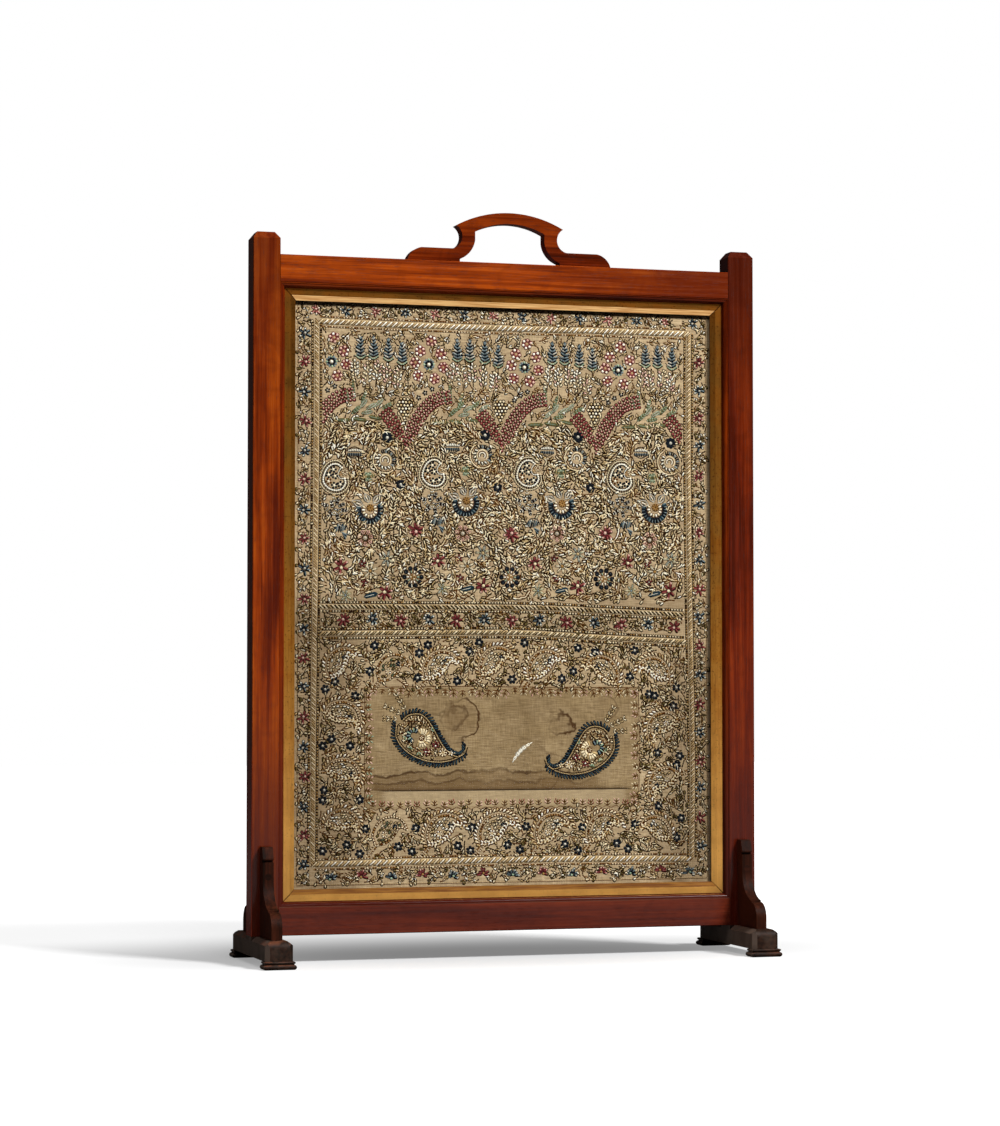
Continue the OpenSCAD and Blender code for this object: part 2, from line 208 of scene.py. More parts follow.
def mahogany(name, along, shift, pale, mid, deep, gloss=0.2, dust=0.0, gleam=0.18, foot=0.35, head=0.0, side=0.0,
             left=None, low_left_painted_light=None, top=0.0, lines=()):
    """Waxed mahogany: broad figure, fine streaks and short dark pores, all running along one axis.

    foot, head and side say how much darker it is near the floor, near the top and to the right.
    left is a colour painted on faces turned to the left in place of how they are lit: painted shade on the left post,
    painted light on the feet and brackets.
    The low-left colour is painted light on those faces near the floor. top says how far the upper faces are rubbed, and
    lines are the heights of the quirks that hold pale dust.
    """
    f = Finish(name)
    at = (shift, shift * 1.7, shift * 0.6)
    figure = f.noise(grain_scale(along, 22, 2.2), at, detail=4, bend=0.7)
    streak = f.noise(grain_scale(along, 210, 5), at, detail=5, rough=0.65, bend=0.3)
    pore = f.noise(grain_scale(along, 1500, 70), at, detail=1)
    mottle = f.noise((34, 34, 34), at, detail=2, bend=1.2)
    tone = f.spread(figure * 0.55 + streak * 0.45, 0.34, 0.66)
    colour = f.node("ShaderNodeValToRGB", {"stops": [(0.0, deep), (0.45, mid), (1.0, pale)]}, {"Fac": tone})
    colour = f.mix(f.spread(mottle, 0.35, 0.75, 0.0, 0.3), colour, deep)
    pores = f.spread(pore, 0.60, 0.72)
    colour = f.mix(pores * 0.5, colour, srgb(24, 8, 4))
    x, y, z = f.axes()
    height = z + (mottle - 0.5) * 0.06
    colour = f.mix(f.spread(height, 0.4, 0.08, 0.0, foot), colour, srgb(66, 18, 9))
    if head:
        colour = f.mix(f.spread(height, 0.55, 0.86, 0.0, head), colour, deep)
    if side:
        colour = f.mix(f.spread(x + (mottle - 0.5) * 0.1, 0.0, 0.26, 0.0, side), colour, deep)
    if dust:
        grime = f.spread(f.noise((60, 60, 60), at, detail=4), 0.45, 0.8, 0.0, dust)
        colour = f.mix(grime, colour, srgb(112, 96, 84))
    facing = f.facing()
    # Painted light and shade: faces turned to the left take the left colour in place of how they are lit, and near the
    # floor the low-left colour as painted light.
    if left:
        colour = f.mix(f.spread(facing[0], -0.4, -0.8, 0.0, 0.85) * f.spread(mottle, 0.2, 0.6, 0.55, 1.0), colour, left)
    if low_left_painted_light:
        colour = f.mix(f.spread(facing[0], -0.4, -0.8, 0.0, 0.9) * f.spread(height, 0.3, 0.12), colour, low_left_painted_light)
    if top:
        rubbed = f.spread(facing[2], 0.3, 0.8, 0.0, top) * f.spread(mottle, 0.48, 0.62)
        colour = f.mix(rubbed, colour, srgb(112, 66, 46))
    for line in lines:
        off = (z - line) * (z - line)
        colour = f.mix(f.spread(off, 0.0000004, 0.0000001) * f.spread(streak, 0.3, 0.6, 0.05, 0.28), colour, srgb(160, 120, 100))
    rough = f.spread(streak, 0.3, 0.7, gloss, gloss + 0.1) + pores * 0.15
    relief = f.bump(pores * -1.0 + streak * 0.25, 0.2, 0.0002)
    return f.shade(Base_Color=colour, Roughness=rough, Normal=relief, Specular_IOR_Level=gleam)


def gilding(name, along):
    """Old leaf gilding: dull gold, rubbed and spotted, with brown dirt in the laps; painted reflections make it darker
    higher up, brighter near the floor and paler on faces turned down.
    """
    f = Finish(name)
    cloud = f.noise((40, 40, 40), detail=5, rough=0.6)
    rub = f.noise(grain_scale(along, 700, 30), detail=3)
    spots = f.spread(f.noise((380, 380, 380), detail=3), 0.58, 0.68)
    gold = f.mix(f.spread(cloud, 0.35, 0.7), srgb(200, 136, 56), srgb(168, 104, 34))
    gold = f.mix(f.spread(rub, 0.42, 0.75, 0.0, 0.5), gold, srgb(124, 66, 24))
    gold = f.mix(spots * 0.7, gold, srgb(84, 42, 14))
    x, y, height = f.axes()
    # Painted reflection: the gold darker higher up and brighter near the floor.
    gold = f.mix(f.spread(height, 0.25, 0.8, 0.0, 0.45), gold, srgb(96, 46, 8))
    gold = f.mix(f.spread(height, 0.4, 0.07, 0.0, 0.55), gold, srgb(232, 176, 96))
    facing = f.facing()[2]
    dusty = f.spread(facing, 0.2, 0.45)
    # Painted reflection: faces turned down are paler gold.
    gold = f.mix(f.spread(facing, -0.2, -0.45), gold, f.mix(f.spread(rub, 0.3, 0.7), srgb(228, 184, 122), srgb(182, 128, 74)))
    beside = (x * x) ** 0.5
    for corner in (beside + height - 0.353, height - beside - 0.528):
        gold = f.mix(f.spread(corner * corner, 0.0000008, 0.0000002), gold, srgb(58, 26, 8))
    gold = f.mix(dusty, gold, f.mix(f.spread(rub, 0.3, 0.7), srgb(128, 84, 24), srgb(92, 50, 10)))
    rough = f.spread(cloud, 0.3, 0.7, 0.28, 0.38) + dusty * 0.35
    relief = f.bump(rub + cloud * 0.5, 0.12, 0.0002)
    return f.shade(Base_Color=gold, Roughness=rough, Metallic=1 - dusty * 0.75, Normal=relief, Specular_IOR_Level=0.15)


def bare_wood(name, along, shift):
    """Softwood that was never finished, browned with age."""
    f = Finish(name)
    at = (shift, shift, shift)
    ring = f.noise(grain_scale(along, 120, 3), at, detail=4, bend=0.6)
    fine = f.noise(grain_scale(along, 900, 12), at, detail=2)
    stain = f.noise((9, 9, 9), at, detail=4)
    tone = f.spread(ring * 0.7 + fine * 0.3, 0.35, 0.65)
    colour = f.mix(tone, srgb(150, 116, 76), srgb(112, 80, 50))
    colour = f.mix(f.spread(stain, 0.45, 0.75, 0.0, 0.5), colour, srgb(84, 60, 40))
    relief = f.bump(fine + ring * 0.5, 0.4, 0.0003)
    return f.shade(Base_Color=colour, Roughness=f.spread(fine, 0.3, 0.7, 0.7, 0.85), Normal=relief)


def metal(name, colour, dull):
    f = Finish(name)
    cloud = f.noise((600, 600, 600), detail=3)
    shade = f.mix(f.spread(cloud, 0.4, 0.8), colour, srgb(70, 58, 44))
    return f.shade(Base_Color=shade, Roughness=f.spread(cloud, 0.3, 0.7, dull, dull + 0.2), Metallic=1.0)


def clear_glass():
    """Thin old glass: only a faint tint shows."""
    f = Finish("clear_glass")
    film = f.noise((14, 14, 14), detail=3)
    alpha = f.spread(film, 0.4, 0.8, 0.02, 0.04)
    return f.shade(Base_Color=srgb(58, 48, 30), Roughness=0.1, Alpha=alpha)


def silk(name, colour, shadow):
    """Floss silk: a soft sheen, uneven dye and a little dirt between the strands."""
    f = Finish(name)
    dye = f.noise((90, 90, 90), detail=3)
    strand = f.noise((2600, 2600, 2600), detail=1)
    tone = f.mix(f.spread(dye, 0.35, 0.75, 0.0, 0.75), colour, shadow)
    tone = f.mix(f.spread(strand, 0.5, 0.8, 0.0, 0.3), tone, shadow)
    tone = f.mix(soil(f) * 0.8, tone, srgb(84, 60, 34), "MULTIPLY")
    # Painted shadow under the gilt slip.
    tone = f.mix(slip_shadow_paint(f), tone, srgb(20, 12, 7))
    relief = f.bump(strand, 0.3, 0.0001)
    return f.shade(Base_Color=tone, Roughness=f.spread(dye, 0.3, 0.7, 0.5, 0.68), Normal=relief, Specular_IOR_Level=0.03)


# Stitches
# Places on the cloth are in millimetres: x to the right, z up, as in the frame.
LINEN_Y = -0.35
TUCK_Z = 203.0
THREADS = {
    "white": ((255, 252, 236), (250, 236, 204)),
    "cream": ((248, 232, 194), (224, 200, 152)),
    "ecru": ((206, 178, 128), (168, 140, 92)),
    "silver": ((204, 199, 184), (148, 142, 126)),
    "gold": ((178, 136, 78), (132, 95, 48)),
    "olive": ((112, 98, 54), (72, 60, 32)),
    "brown": ((92, 52, 16), (58, 31, 7)),
    "dark_brown": ((42, 21, 3), (22, 10, 1)),
    "wine": ((102, 36, 41), (60, 20, 25)),
    "rose": ((160, 85, 78), (112, 52, 48)),
    "pink": ((234, 196, 176), (202, 146, 126)),
    "navy": ((16, 24, 32), (8, 12, 18)),
    "teal": ((44, 70, 80), (24, 43, 52)),
    "slate": ((128, 144, 146), (84, 100, 106)),
    "sage": ((92, 108, 80), (58, 72, 52)),
    "mint": ((166, 188, 160), (116, 142, 116)),
}
straight = defaultdict(list)
round_knots = defaultdict(list)
CELL = 1.3
busy = set()


def zone(x, z):
    """The part of the work that a stitch belongs to."""
    if abs(x) > 232 or z > 762 or z < 124:
        return "border"
    return ("upper_" if z > 390 else "lower_") + ("left" if x < -75 else "middle" if x < 75 else "right")


def sew(thread, x0, z0, x1, z1, w=1.2, h=0.34):
    """One straight stitch."""
    straight[thread, zone(x0, z0)].append((x0, z0, x1, z1, w, h))


def edged(thread, x0, z0, x1, z1, w=1.9, edge="dark_brown", rim=0.75):
    """A stitch with a dark line round it."""
    long = math.hypot(x1 - x0, z1 - z0) or 0.01
    ex = (x1 - x0) / long * rim
    ez = (z1 - z0) / long * rim
    sew(edge, x0 - ex, z0 - ez, x1 + ex, z1 + ez, w + 2 * rim, 0.2)
    sew(thread, x0, z0, x1, z1, w, 0.46)


def knot(thread, x, z, r=1.2, h=0.44, edge=None, rim=0.7):
    """One French knot, with a dark line round it if asked."""
    if edge:
        round_knots[edge, zone(x, z)].append((x, z, r + rim, 0.2))
    round_knots[thread, zone(x, z)].append((x, z, r, h))


def ground(thread, x, z, r):
    """A low round of close stitches under a motif."""
    round_knots[thread, zone(x, z)].append((x, z, r, 0.1))


def claim(x, z, r):
    """Keeps the loose leaf sprays off a motif."""
    n = int(r / CELL) + 1
    i = round(x / CELL)
    j = round(z / CELL)
    for a in range(-n, n + 1):
        for b in range(-n, n + 1):
            if math.hypot(a, b) * CELL <= r:
                busy.add((i + a, j + b))


def is_free(x, z):
    return (round(x / CELL), round(z / CELL)) not in busy


def polar(x, z, r, angle):
    return x + r * math.cos(angle), z + r * math.sin(angle)


def curve(points, step):
    """Even steps along a smooth line through the points: (x, z, direction)."""
    ends = [points[0], *points, points[-1]]
    dense = []
    for p, q, r, s in zip(ends, ends[1:], ends[2:], ends[3:]):
        for k in range(14):
            t = k / 14
            dense.append(tuple(
                0.5 * (2 * b + (c - a) * t + (2 * a - 5 * b + 4 * c - d) * t * t + (3 * b - a - 3 * c + d) * t ** 3)
                for a, b, c, d in zip(p, q, r, s)))
    dense.append(points[-1])
    lengths = [math.dist(a, b) for a, b in zip(dense, dense[1:])]
    count = max(2, round(sum(lengths) / step) + 1)
    gap = sum(lengths) / (count - 1)
    out = [dense[0]]
    left = gap
    for (a, b), size in zip(zip(dense, dense[1:]), lengths):
        done = 0.0
        while size - done >= left - 1e-9 and len(out) < count:
            done += left
            t = done / size if size else 0
            out.append((a[0] + (b[0] - a[0]) * t, a[1] + (b[1] - a[1]) * t))
            left = gap
        left -= size - done
    while len(out) < count:
        out.append(dense[-1])
    turned = []
    for k, (x, z) in enumerate(out):
        a = out[max(0, k - 1)]
        b = out[min(len(out) - 1, k + 1)]
        turned.append((x, z, math.atan2(b[1] - a[1], b[0] - a[0])))
    return turned


def stem(thread, points, w=1.1, step=2.8, lean=0.1, h=0.3):
    """Stem stitch along a line."""
    path = curve(points, step)
    for (x0, z0, a), (x1, z1, _) in zip(path, path[1:]):
        sx = -math.sin(a) * lean
        sz = math.cos(a) * lean
        ex = math.cos(a) * 0.3
        ez = math.sin(a) * 0.3
        sew(thread, x0 + sx - ex, z0 + sz - ez, x1 - sx + ex, z1 - sz + ez, w, h)


def beads(thread, points, w=1.3, step=3.0, size=1.9, h=0.42):
    """Separate short stitches along a line."""
    for x, z, a in curve(points, step):
        x0, z0 = polar(x, z, size / 2, a)
        sew(thread, 2 * x - x0, 2 * z - z0, x0, z0, w, h)


def offset_line(points, by, step=3.0):
    return [(x - math.sin(a) * by, z + math.cos(a) * by) for x, z, a in curve(points, step)]


def chain(points, w=2.0, fill="cream", edge="dark_brown", step=2.6, rim=1.0):
    """A bold line: fat pale stitches between two dark lines."""
    stem(edge, points, w + 2 * rim + 0.6, 3, 0, 0.18)
    for x, z, a in curve(points, step):
        x0, z0 = polar(x, z, step * 0.62, a + 0.3)
        sew(fill, 2 * x - x0, 2 * z - z0, x0, z0, w, 0.46)
        claim(x, z, w / 2 + rim + 0.4)


def leaf(x, z, angle, size, fill="cream", w=2.3, edge="dark_brown", rim=1.15):
    """A single leaf: a pale stitch with a dark line all round it."""
    sew(edge, *polar(x, z, -0.8, angle), *polar(x, z, size + 1.1, angle), w + 2.7 * rim, 0.17)
    sew(fill, x, z, *polar(x, z, size, angle), w, 0.5)


def petals(x, z, n, r0, r1, w, thread, edge=None, start=math.pi / 2, sweep=2 * math.pi):
    """Petals that stand round a middle."""
    for k in range(n):
        a = start + sweep * k / n
        p = polar(x, z, r0, a)
        q = polar(x, z, r1, a)
        if edge:
            edged(thread, *p, *q, w, edge)
        else:
            sew(thread, *p, *q, w, 0.42)


def star(x, z, r, thread, heart, light, n=6, start=math.pi / 2, sweep=2 * math.pi, tip=None):
    """A flower of narrow petals, no two alike: dark between them, lighter along the middle, round a small heart."""
    shade = "dark_brown" if thread in ("wine", "rose") else "navy"
    for k in range(n):
        a = start + sweep * k / n + chance.uniform(-0.22, 0.22)
        far = r * chance.uniform(0.7, 1.12)
        sew(shade, *polar(x, z, r * 0.05, a), *polar(x, z, far + 1.2, a), r * 0.34 + 2.2, 0.17)
        sew(thread, *polar(x, z, r * 0.1, a), *polar(x, z, far, a), r * 0.38, 0.4)
        sew(light, *polar(x, z, r * 0.3, a + 0.1), *polar(x, z, far * 0.98, a + 0.1), r * 0.24, 0.54)
        if tip and chance.random() < 0.6:
            knot(tip, *polar(x, z, far * 0.82, a), r * 0.14, 0.6)
    knot(heart, *polar(x, z, r * 0.14, chance.uniform(0, 6)), r * 0.2, 0.6, shade, 0.6)
    claim(x, z, r * 0.92)


def eyelet(x, z, r=4.8, n=6):
    """A small flower of blue-black knots, set apart, round a silvery eye."""
    turn = chance.uniform(0, 1)
    for k in range(n):
        knot("navy", *polar(x, z, r * chance.uniform(0.74, 0.86), turn + math.tau * k / n), r * 0.46, 0.42)
    knot("silver", x, z, r * 0.38, 0.5, "navy", r * 0.14)
    knot("white", x - 0.2, z + 0.4, r * 0.16, 0.6)
    claim(x, z, r + 1.2)


def rosette(x, z, r, petal="pink", edge="wine", heart="gold", n=6):
    """A round flower: a ring of pale knotted petals, dark strokes between them."""
    turn = chance.uniform(0, 1)
    for k in range(n):
        a = turn + math.tau * k / n
        place = polar(x, z, r * chance.uniform(0.64, 0.76), a)
        sew("rose" if edge == "wine" else petal, *polar(x, z, r * 0.12, a), *place, r * 0.3, 0.4)
        knot("white" if chance.random() < 0.45 else petal, *place, r * 1.55 / n, 0.46, edge, r * 0.14)
        sew(edge, *polar(x, z, r * 0.3, a + math.pi / n), *polar(x, z, r, a + math.pi / n), r * 0.2, 0.42)
        sew("white", *polar(*place, -r * 0.1, a), *polar(*place, r * 0.16, a), r * 0.12, 0.6)
    knot(heart, x, z, r * 0.2, 0.42)
    claim(x, z, r + 1)


def ringed_eyelet(x, z, r=7.8):
    """The eye of a ring of rosettes: mint and grey outside, blue-black knots inside, a white heart."""
    for k in range(12):
        a = math.tau * k / 12
        sew("mint" if k % 3 == 0 else "slate", *polar(x, z, r * 0.5, a), *polar(x, z, r, a + 0.1), 3.2, 0.4)
    for k in range(7):
        knot("navy", *polar(x, z, r * 0.5, math.tau * k / 7), r * 0.25, 0.56)
    knot("white", x, z, r * 0.26, 0.62)
    claim(x, z, r + 1.2)


def vine(x, z, angle, reach, bend, fills, inside, leaf_size=8.2):
    """A leafy spray that grows until it meets something."""
    made = []
    pitch = leaf_size * 0.5
    stalk = "brown" if chance.random() < 0.28 else "dark_brown"
    if not is_free(x, z) or not inside(x, z):
        return 0
    for _ in range(max(1, int(reach / pitch))):
        x1, z1 = polar(x, z, pitch, angle)
        if not is_free(x1, z1) or not inside(x1, z1):
            break
        sew(stalk, *polar(x, z, -0.5, angle), x1, z1, 1.9, 0.4)
        for side in (-1, 1):
            lean = angle + side * chance.uniform(0.48, 0.7)
            size = leaf_size * chance.uniform(0.8, 1.1)
            tip = polar(x1, z1, size, lean)
            if is_free(*tip) and inside(*tip):
                start = polar(x1, z1, 1.2, lean)
                leaf(*start, lean, size - 1.2, chance.choice(fills), leaf_size * 0.225, stalk, leaf_size * 0.155)
                made.append((*polar(x1, z1, size * 0.55, lean), 1.7))
                made.append((*tip, 1.0))
        made.append((x1, z1, 1.9))
        angle += bend + chance.uniform(-0.12, 0.12)
        x, z = x1, z1
    if made:
        leaf(*polar(x, z, 0.4, angle), angle, leaf_size * 0.7, chance.choice(fills))
        made.append((*polar(x, z, 2.5, angle), 1.8))
    for p in made:
        claim(*p)
    return len(made)


def fill_with_leaves(x0, x1, z0, z1, fills, inside, reaches=(46, 30, 18, 9), leaf_size=8.2, share=0.9):
    """Grows sprays over a field, long ones first, until little linen is left between them."""
    for reach in reaches:
        tries = int((x1 - x0) * (z1 - z0) * share / (reach * 1.5))
        for _ in range(tries):
            x = chance.uniform(x0, x1)
            z = chance.uniform(z0, z1)
            vine(x, z, chance.uniform(0, math.tau), reach * chance.uniform(0.6, 1.1), chance.uniform(-0.28, 0.28), fills,
                 inside, leaf_size)


# Rope bands
def beaded_line(points, by, wide=3.8, bead="cream", base="brown", step=3.7, fat=(0.46, 0.58)):
    """A dark line with pale beads worked over it, not quite evenly."""
    stem(base, offset_line(points, by, 12), wide, 3.0, 0, 0.24)
    for x, z, a in curve(offset_line(points, by, 12), step):
        if chance.random() < 0.92:
            x0, z0 = polar(x, z, step * 0.37, a + chance.uniform(-0.15, 0.15))
            sew(bead if chance.random() < 0.65 else "gold", 2 * x - x0, 2 * z - z0, x0, z0, wide * chance.uniform(*fat), 0.48)


def rope(points, bright="white", ground_thread="ecru", pitch=9.0, half=4.4, lean=0.66, wide=2.5, edge="brown", fine=1.0,
         bead="cream", line=3.8, base="brown"):
    """Slanting satin stitches on a paler band between two beaded lines."""
    stem(ground_thread, points, half * 2.3, 6, 0, 0.14)
    for x, z, a in curve(points, pitch):
        slant = a + lean + math.copysign(chance.uniform(-0.12, 0.12), lean)
        for by, thread, w, high in ((wide * 0.75, edge, fine, 0.44), (-wide * 0.75, edge, fine, 0.44), (0, bright, wide, 0.52)):
            cx = x + math.cos(a) * by
            cz = z + math.sin(a) * by
            x0, z0 = polar(cx, cz, half * 1.25 * chance.uniform(0.85, 1.05), slant)
            if by == 0 and chance.random() < 0.25:
                thread = "cream" if thread == "white" else "ecru"
            sew(thread, 2 * cx - x0, 2 * cz - z0, x0, z0, w * chance.uniform(0.8, 1.1), high)
        claim(x, z, half + 3)
        claim(*polar(x, z, pitch / 2, a), half + 3)
    for side in (-1, 1):
        beaded_line(points, side * (half + 0.3 + line / 2.6), line, bead, base)


# Frame of the needlework, as read from the photograph
LEFT_ROPE = [(-238.5, 770), (-238.5, 640), (-240, 450), (-241.5, 300), (-242.5, 117)]
RIGHT_ROPE = [(239, 770), (238.5, 600), (240, 430), (243, 250), (242, 117)]
TOP_ROPE = [(-234, 770), (-120, 769), (0, 769), (120, 770), (236, 770)]
BOTTOM_ROPE = [(-240, 116), (-120, 117), (0, 117.5), (120, 117), (238, 115)]
HIGH_BAND = [(-232, 425.5), (-100, 426), (40, 426), (120, 423), (231, 419)]
LOW_BAND = [(-232, 393), (-100, 394.5), (20, 395), (120, 390), (232, 385)]
OUTER_LINES = ([(-262, 92), (-261, 400), (-262, 790)], [(263, 92), (262, 400), (262, 790)],
               [(-262, 91), (0, 90.5), (262, 91)])


def work_borders():
    rope(LEFT_ROPE, "cream", "ecru", 6.0, 3.2, wide=2.2, fine=1.5, bead="ecru", line=4.4, base="dark_brown")
    rope(RIGHT_ROPE, "cream", "ecru", 6.4, 3.2, -0.66, wide=2.2, fine=1.6, bead="ecru", line=4.2, base="dark_brown")
    rope(TOP_ROPE, pitch=6.6, wide=2.5, fine=1.3, line=3.2)
    rope(BOTTOM_ROPE, pitch=8.0, wide=2.3, fine=1.4, line=3.4)
    rope(HIGH_BAND, "cream", "ecru", 5.2, 3.3, -0.7, 2.3, "dark_brown", 1.7, "cream", 4.6, "dark_brown")
    rope(LOW_BAND, "cream", "ecru", 7.6, 3.5, 0.6, 2.9, "dark_brown", 1.8, "cream", 4.6, "dark_brown")
    for line in OUTER_LINES:
        stem("brown", line, 0.9, 3)
        beads("ecru", offset_line(line, 1.0, 12), 1.0, 2.9, 1.6)
    for x, top in ((-253, 720), (253, 736)):
        for k in range(-1, 19):
            z = top - k * 35.6 + chance.uniform(-1.5, 1.5)
            if not 98 < z < 772:
                continue
            if k % 2:
                star(x + chance.uniform(-1, 1), z, 8.2, "navy", "silver", "slate", 6, chance.uniform(0, 1), tip="white")
            else:
                star(x + chance.uniform(-1, 1), z, 8.4, "wine", "pink", "rose", 6, chance.uniform(0, 1), tip="pink")
    for k in range(14):
        x = -240 + k * 37.3
        if k % 2:
            star(x, 784, 7.6, "navy", "silver", "slate", 6, 0.5, tip="white")
        else:
            star(x, 784, 7.6, "rose", "pink", "pink", 6, 0.5, tip="white")
    for k in range(13):
        x = -220 + k * 38.2
        if k % 2:
            star(x, 101, 8.2, "wine", "gold", "rose", 6, -0.2, 3.9, "pink")
        else:
            star(x, 98.5, 8.4, "navy", "mint", "slate", 6, -0.2, 3.9, "silver")
    quiet = ["cream", "ecru", "white", "ecru", "olive", "cream"]
    for x0, x1, z0, z1 in ((-262, -246, 92, 790), (246, 262, 92, 790), (-240, 240, 777, 793), (-240, 240, 92, 110)):
        fill_with_leaves(x0, x1, z0, z1, quiet, lambda x, z, b=(x0, x1, z0, z1): b[0] < x < b[1] and b[2] < z < b[3],
                         (12, 7), 5.6, 0.6)


def in_upper_field(x, z):
    return -231 < x < 231 and 434 < z < 762


SPIKE_WIDTHS = (7.4, 7.4, 6.6, 5.4, 4.0, 2.6)


def spike(x, z, tall=26):
    """A blue spire of blossom: chevrons of dark and grey-blue silk that narrow upward, in a pale cup."""
    stem("dark_brown", [(x, z - 9), (x + 0.6, z - 1)], 1.6)
    sew("navy", x, z - 1, x, z + tall, 5.0, 0.16)
    pitch = tall * 0.9 / len(SPIKE_WIDTHS)
    for k, wide in enumerate(SPIKE_WIDTHS):
        zz = z + 1 + k * pitch
        for side in (-1, 1):
            far = wide * chance.uniform(0.75, 1.15)
            rise = chance.uniform(2.6, 4.4)
            sew("navy", x - side * 0.8, zz - 1.4, x + side * far, zz - 1.4 + rise, 2.0, 0.38)
            sew(chance.choice(("slate", "slate", "slate", "silver")), x - side * 0.6, zz + 0.6, x + side * far * 0.92,
                zz + 0.4 + rise, 2.1, 0.5)
            if chance.random() < 0.4:
                sew("silver", x + side * far * 0.4, zz + 0.9, x + side * far * 0.8, zz + 0.6 + rise, 0.9, 0.6)
            sew("navy", x + side * far * 0.5, zz + 1.6, x + side * (far + 1.2), zz + 2.2 + rise, 1.1, 0.46)
    leaf(x, z + tall * 0.82, math.pi / 2, tall * 0.18, "slate", 1.5, "navy", 1.0)
    stem("dark_brown", [(x - 7.0, z + 0.6), (x, z - 3.8), (x + 7.0, z + 0.6)], 1.7, 2.8, 0, 0.3)
    stem("mint", [(x - 6.4, z + 2.0), (x, z - 2.2), (x + 6.4, z + 2.0)], 1.7, 2.8, 0, 0.54)
    claim(x, z + 4, 8)
    claim(x, z + 14, 7.5)
    claim(x, z + 24, 4)


def ear(x, z, tall=22, lean=0.0):
    """A bushy ear: fat pale grains, each in a dark line, that lean out from the middle."""
    lean += chance.uniform(-0.15, 0.15)
    stem("dark_brown", [(x - lean * 12, z - 10), (x, z + 1)], 1.7)
    for k in range(round(tall / 4.4)):
        for column in (-1, 0, 1):
            foot = (x + lean * k * 4.4 + column * 2.2 + chance.uniform(-0.7, 0.7),
                    z + k * 4.4 + 2.2 * (column == 0) + chance.uniform(-0.8, 0.8))
            grain = chance.choice(("white", "cream", "white", "cream", "pink"))
            leaf(*foot, math.pi / 2 - column * 0.85 + chance.uniform(-0.45, 0.45), 4.2, grain, 2.6, "dark_brown", 0.9)
    for up in (3, 10, 17):
        claim(x, z + up, 6)


def knotted_arm(points, widest, share=0.85):
    """Rows of wine-red knots, each with a pale middle."""
    for k, (x, z, a) in enumerate(curve(points, 4.5)):
        rows = min(widest, 1 + (k * 2) // 3)
        for i in range(rows):
            by = (i - (rows - 1) / 2) * 4.5
            px = x - math.sin(a) * by
            pz = z + math.cos(a) * by
            if not in_upper_field(px, pz):
                continue
            px += chance.uniform(-0.4, 0.4)
            pz += chance.uniform(-0.4, 0.4)
            knot("wine", px, pz, 2.2, 0.34, "dark_brown", 0.6)
            knot("rose", px - 0.1, pz + 0.1, 1.55, 0.46)
            if chance.random() < share:
                knot("pink", px - 0.4, pz + 0.5, 1.1, 0.6)
            claim(px, pz, 3)


def satin_leaf(x, z, angle, size, wide, thread, edge=None, vein=None, second=None):
    """A leaf filled with slanting satin stitches, of two threads in turn if asked."""
    if edge:
        sew(edge, *polar(x, z, -1.2, angle), *polar(x, z, size + 1.4, angle), wide * 0.9 + 2.0, 0.18)
    steps = max(3, round(size / 1.7))
    for k in range(steps):
        t = (k + 0.5) / steps
        half = wide / 2 * math.sin(math.pi * min(1.0, t * 0.9 + 0.08))
        cx, cz = polar(x, z, size * t, angle)
        for side in (-1, 1):
            sew(second if second and k % 2 else thread, cx, cz, *polar(cx, cz, half * 1.3, angle + side * 0.85), 1.5, 0.44)
        if k % 3 == 0:
            claim(cx, cz, wide / 2 + 0.9)
    if vein:
        sew(vein, x, z, *polar(x, z, size * 0.85, angle), 0.8, 0.52)


def arc(x, z, r, start, end, parts=8):
    return [polar(x, z, r, start + (end - start) * k / parts) for k in range(parts + 1)]


def pod(x, z, angle, size, wide, rim="slate", inner="navy"):
    """A pointed leaf drawn in outline, with strokes down its middle."""
    tip = polar(x, z, size, angle)
    for side in (-1, 1):
        belly = polar(*polar(x, z, size * 0.42, angle), side * wide * 0.5, angle + math.pi / 2)
        stem("dark_brown", [(x, z), polar(*belly, side * 1.3, angle + math.pi / 2), tip], 1.5, 2.6, 0, 0.3)
        stem(rim, [(x, z), belly, tip], 1.7, 2.6, 0.1, 0.48)
    for by in (-0.22, 0.0, 0.22):
        p = polar(*polar(x, z, size * 0.22, angle), by * wide, angle + math.pi / 2)
        sew(inner if by else "white", *p, *polar(*p, size * 0.45, angle), 1.3, 0.42)
    claim(*polar(x, z, size / 2, angle), size * 0.45)


SCROLL_RIM = [(10, 13), (4, 17.5), (-4, 17), (-11, 11), (-15.5, 1), (-15.5, -8), (-8, -16), (2, -18.5), (10, -16), (15, -9),
              (14, -2)]
SCROLL_NOTCH = [(10, 13), (6.5, 9), (5, 4), (6, 0), (9, -2), (14, -2)]
SCROLL = 0.88
SCROLL_FLOWERS = ((-2, 10.5), (-8.5, 3), (-8.5, -6), (-0.5, -11.5), (8, -10), (0.5, 1.5))


def scroll(x, z):
    """The bold scroll: a double cream outline, open at the right, filled with blue flowers on a white ground."""
    rim = [(x + a * SCROLL, z + b * SCROLL) for a, b in SCROLL_RIM]
    chain(offset_line(rim, -4.0, 7), 1.7, "cream", rim=1.3)
    chain(rim, 2.7, "white", rim=1.4)
    chain([(x + a * SCROLL, z + b * SCROLL) for a, b in SCROLL_NOTCH], 1.6, "white", rim=1.1)
    for k, (a, b) in enumerate(SCROLL_FLOWERS):
        place = x + a * SCROLL, z + b * SCROLL
        ground("cream", *place, 3.8)
        for turn in range(5):
            knot("navy" if k != 2 else "brown", *polar(*place, 2.9, k + turn * math.tau / 5), 1.75, 0.44)
        knot("white", *place, 1.3, 0.54)
    petals(x + 7, z + 4, 6, 0.6, 3.2, 1.5, "gold")
    petals(x + 12.5, z + 6, 7, 0.8, 4.8, 1.6, "cream", "brown")
    claim(x, z, 17)


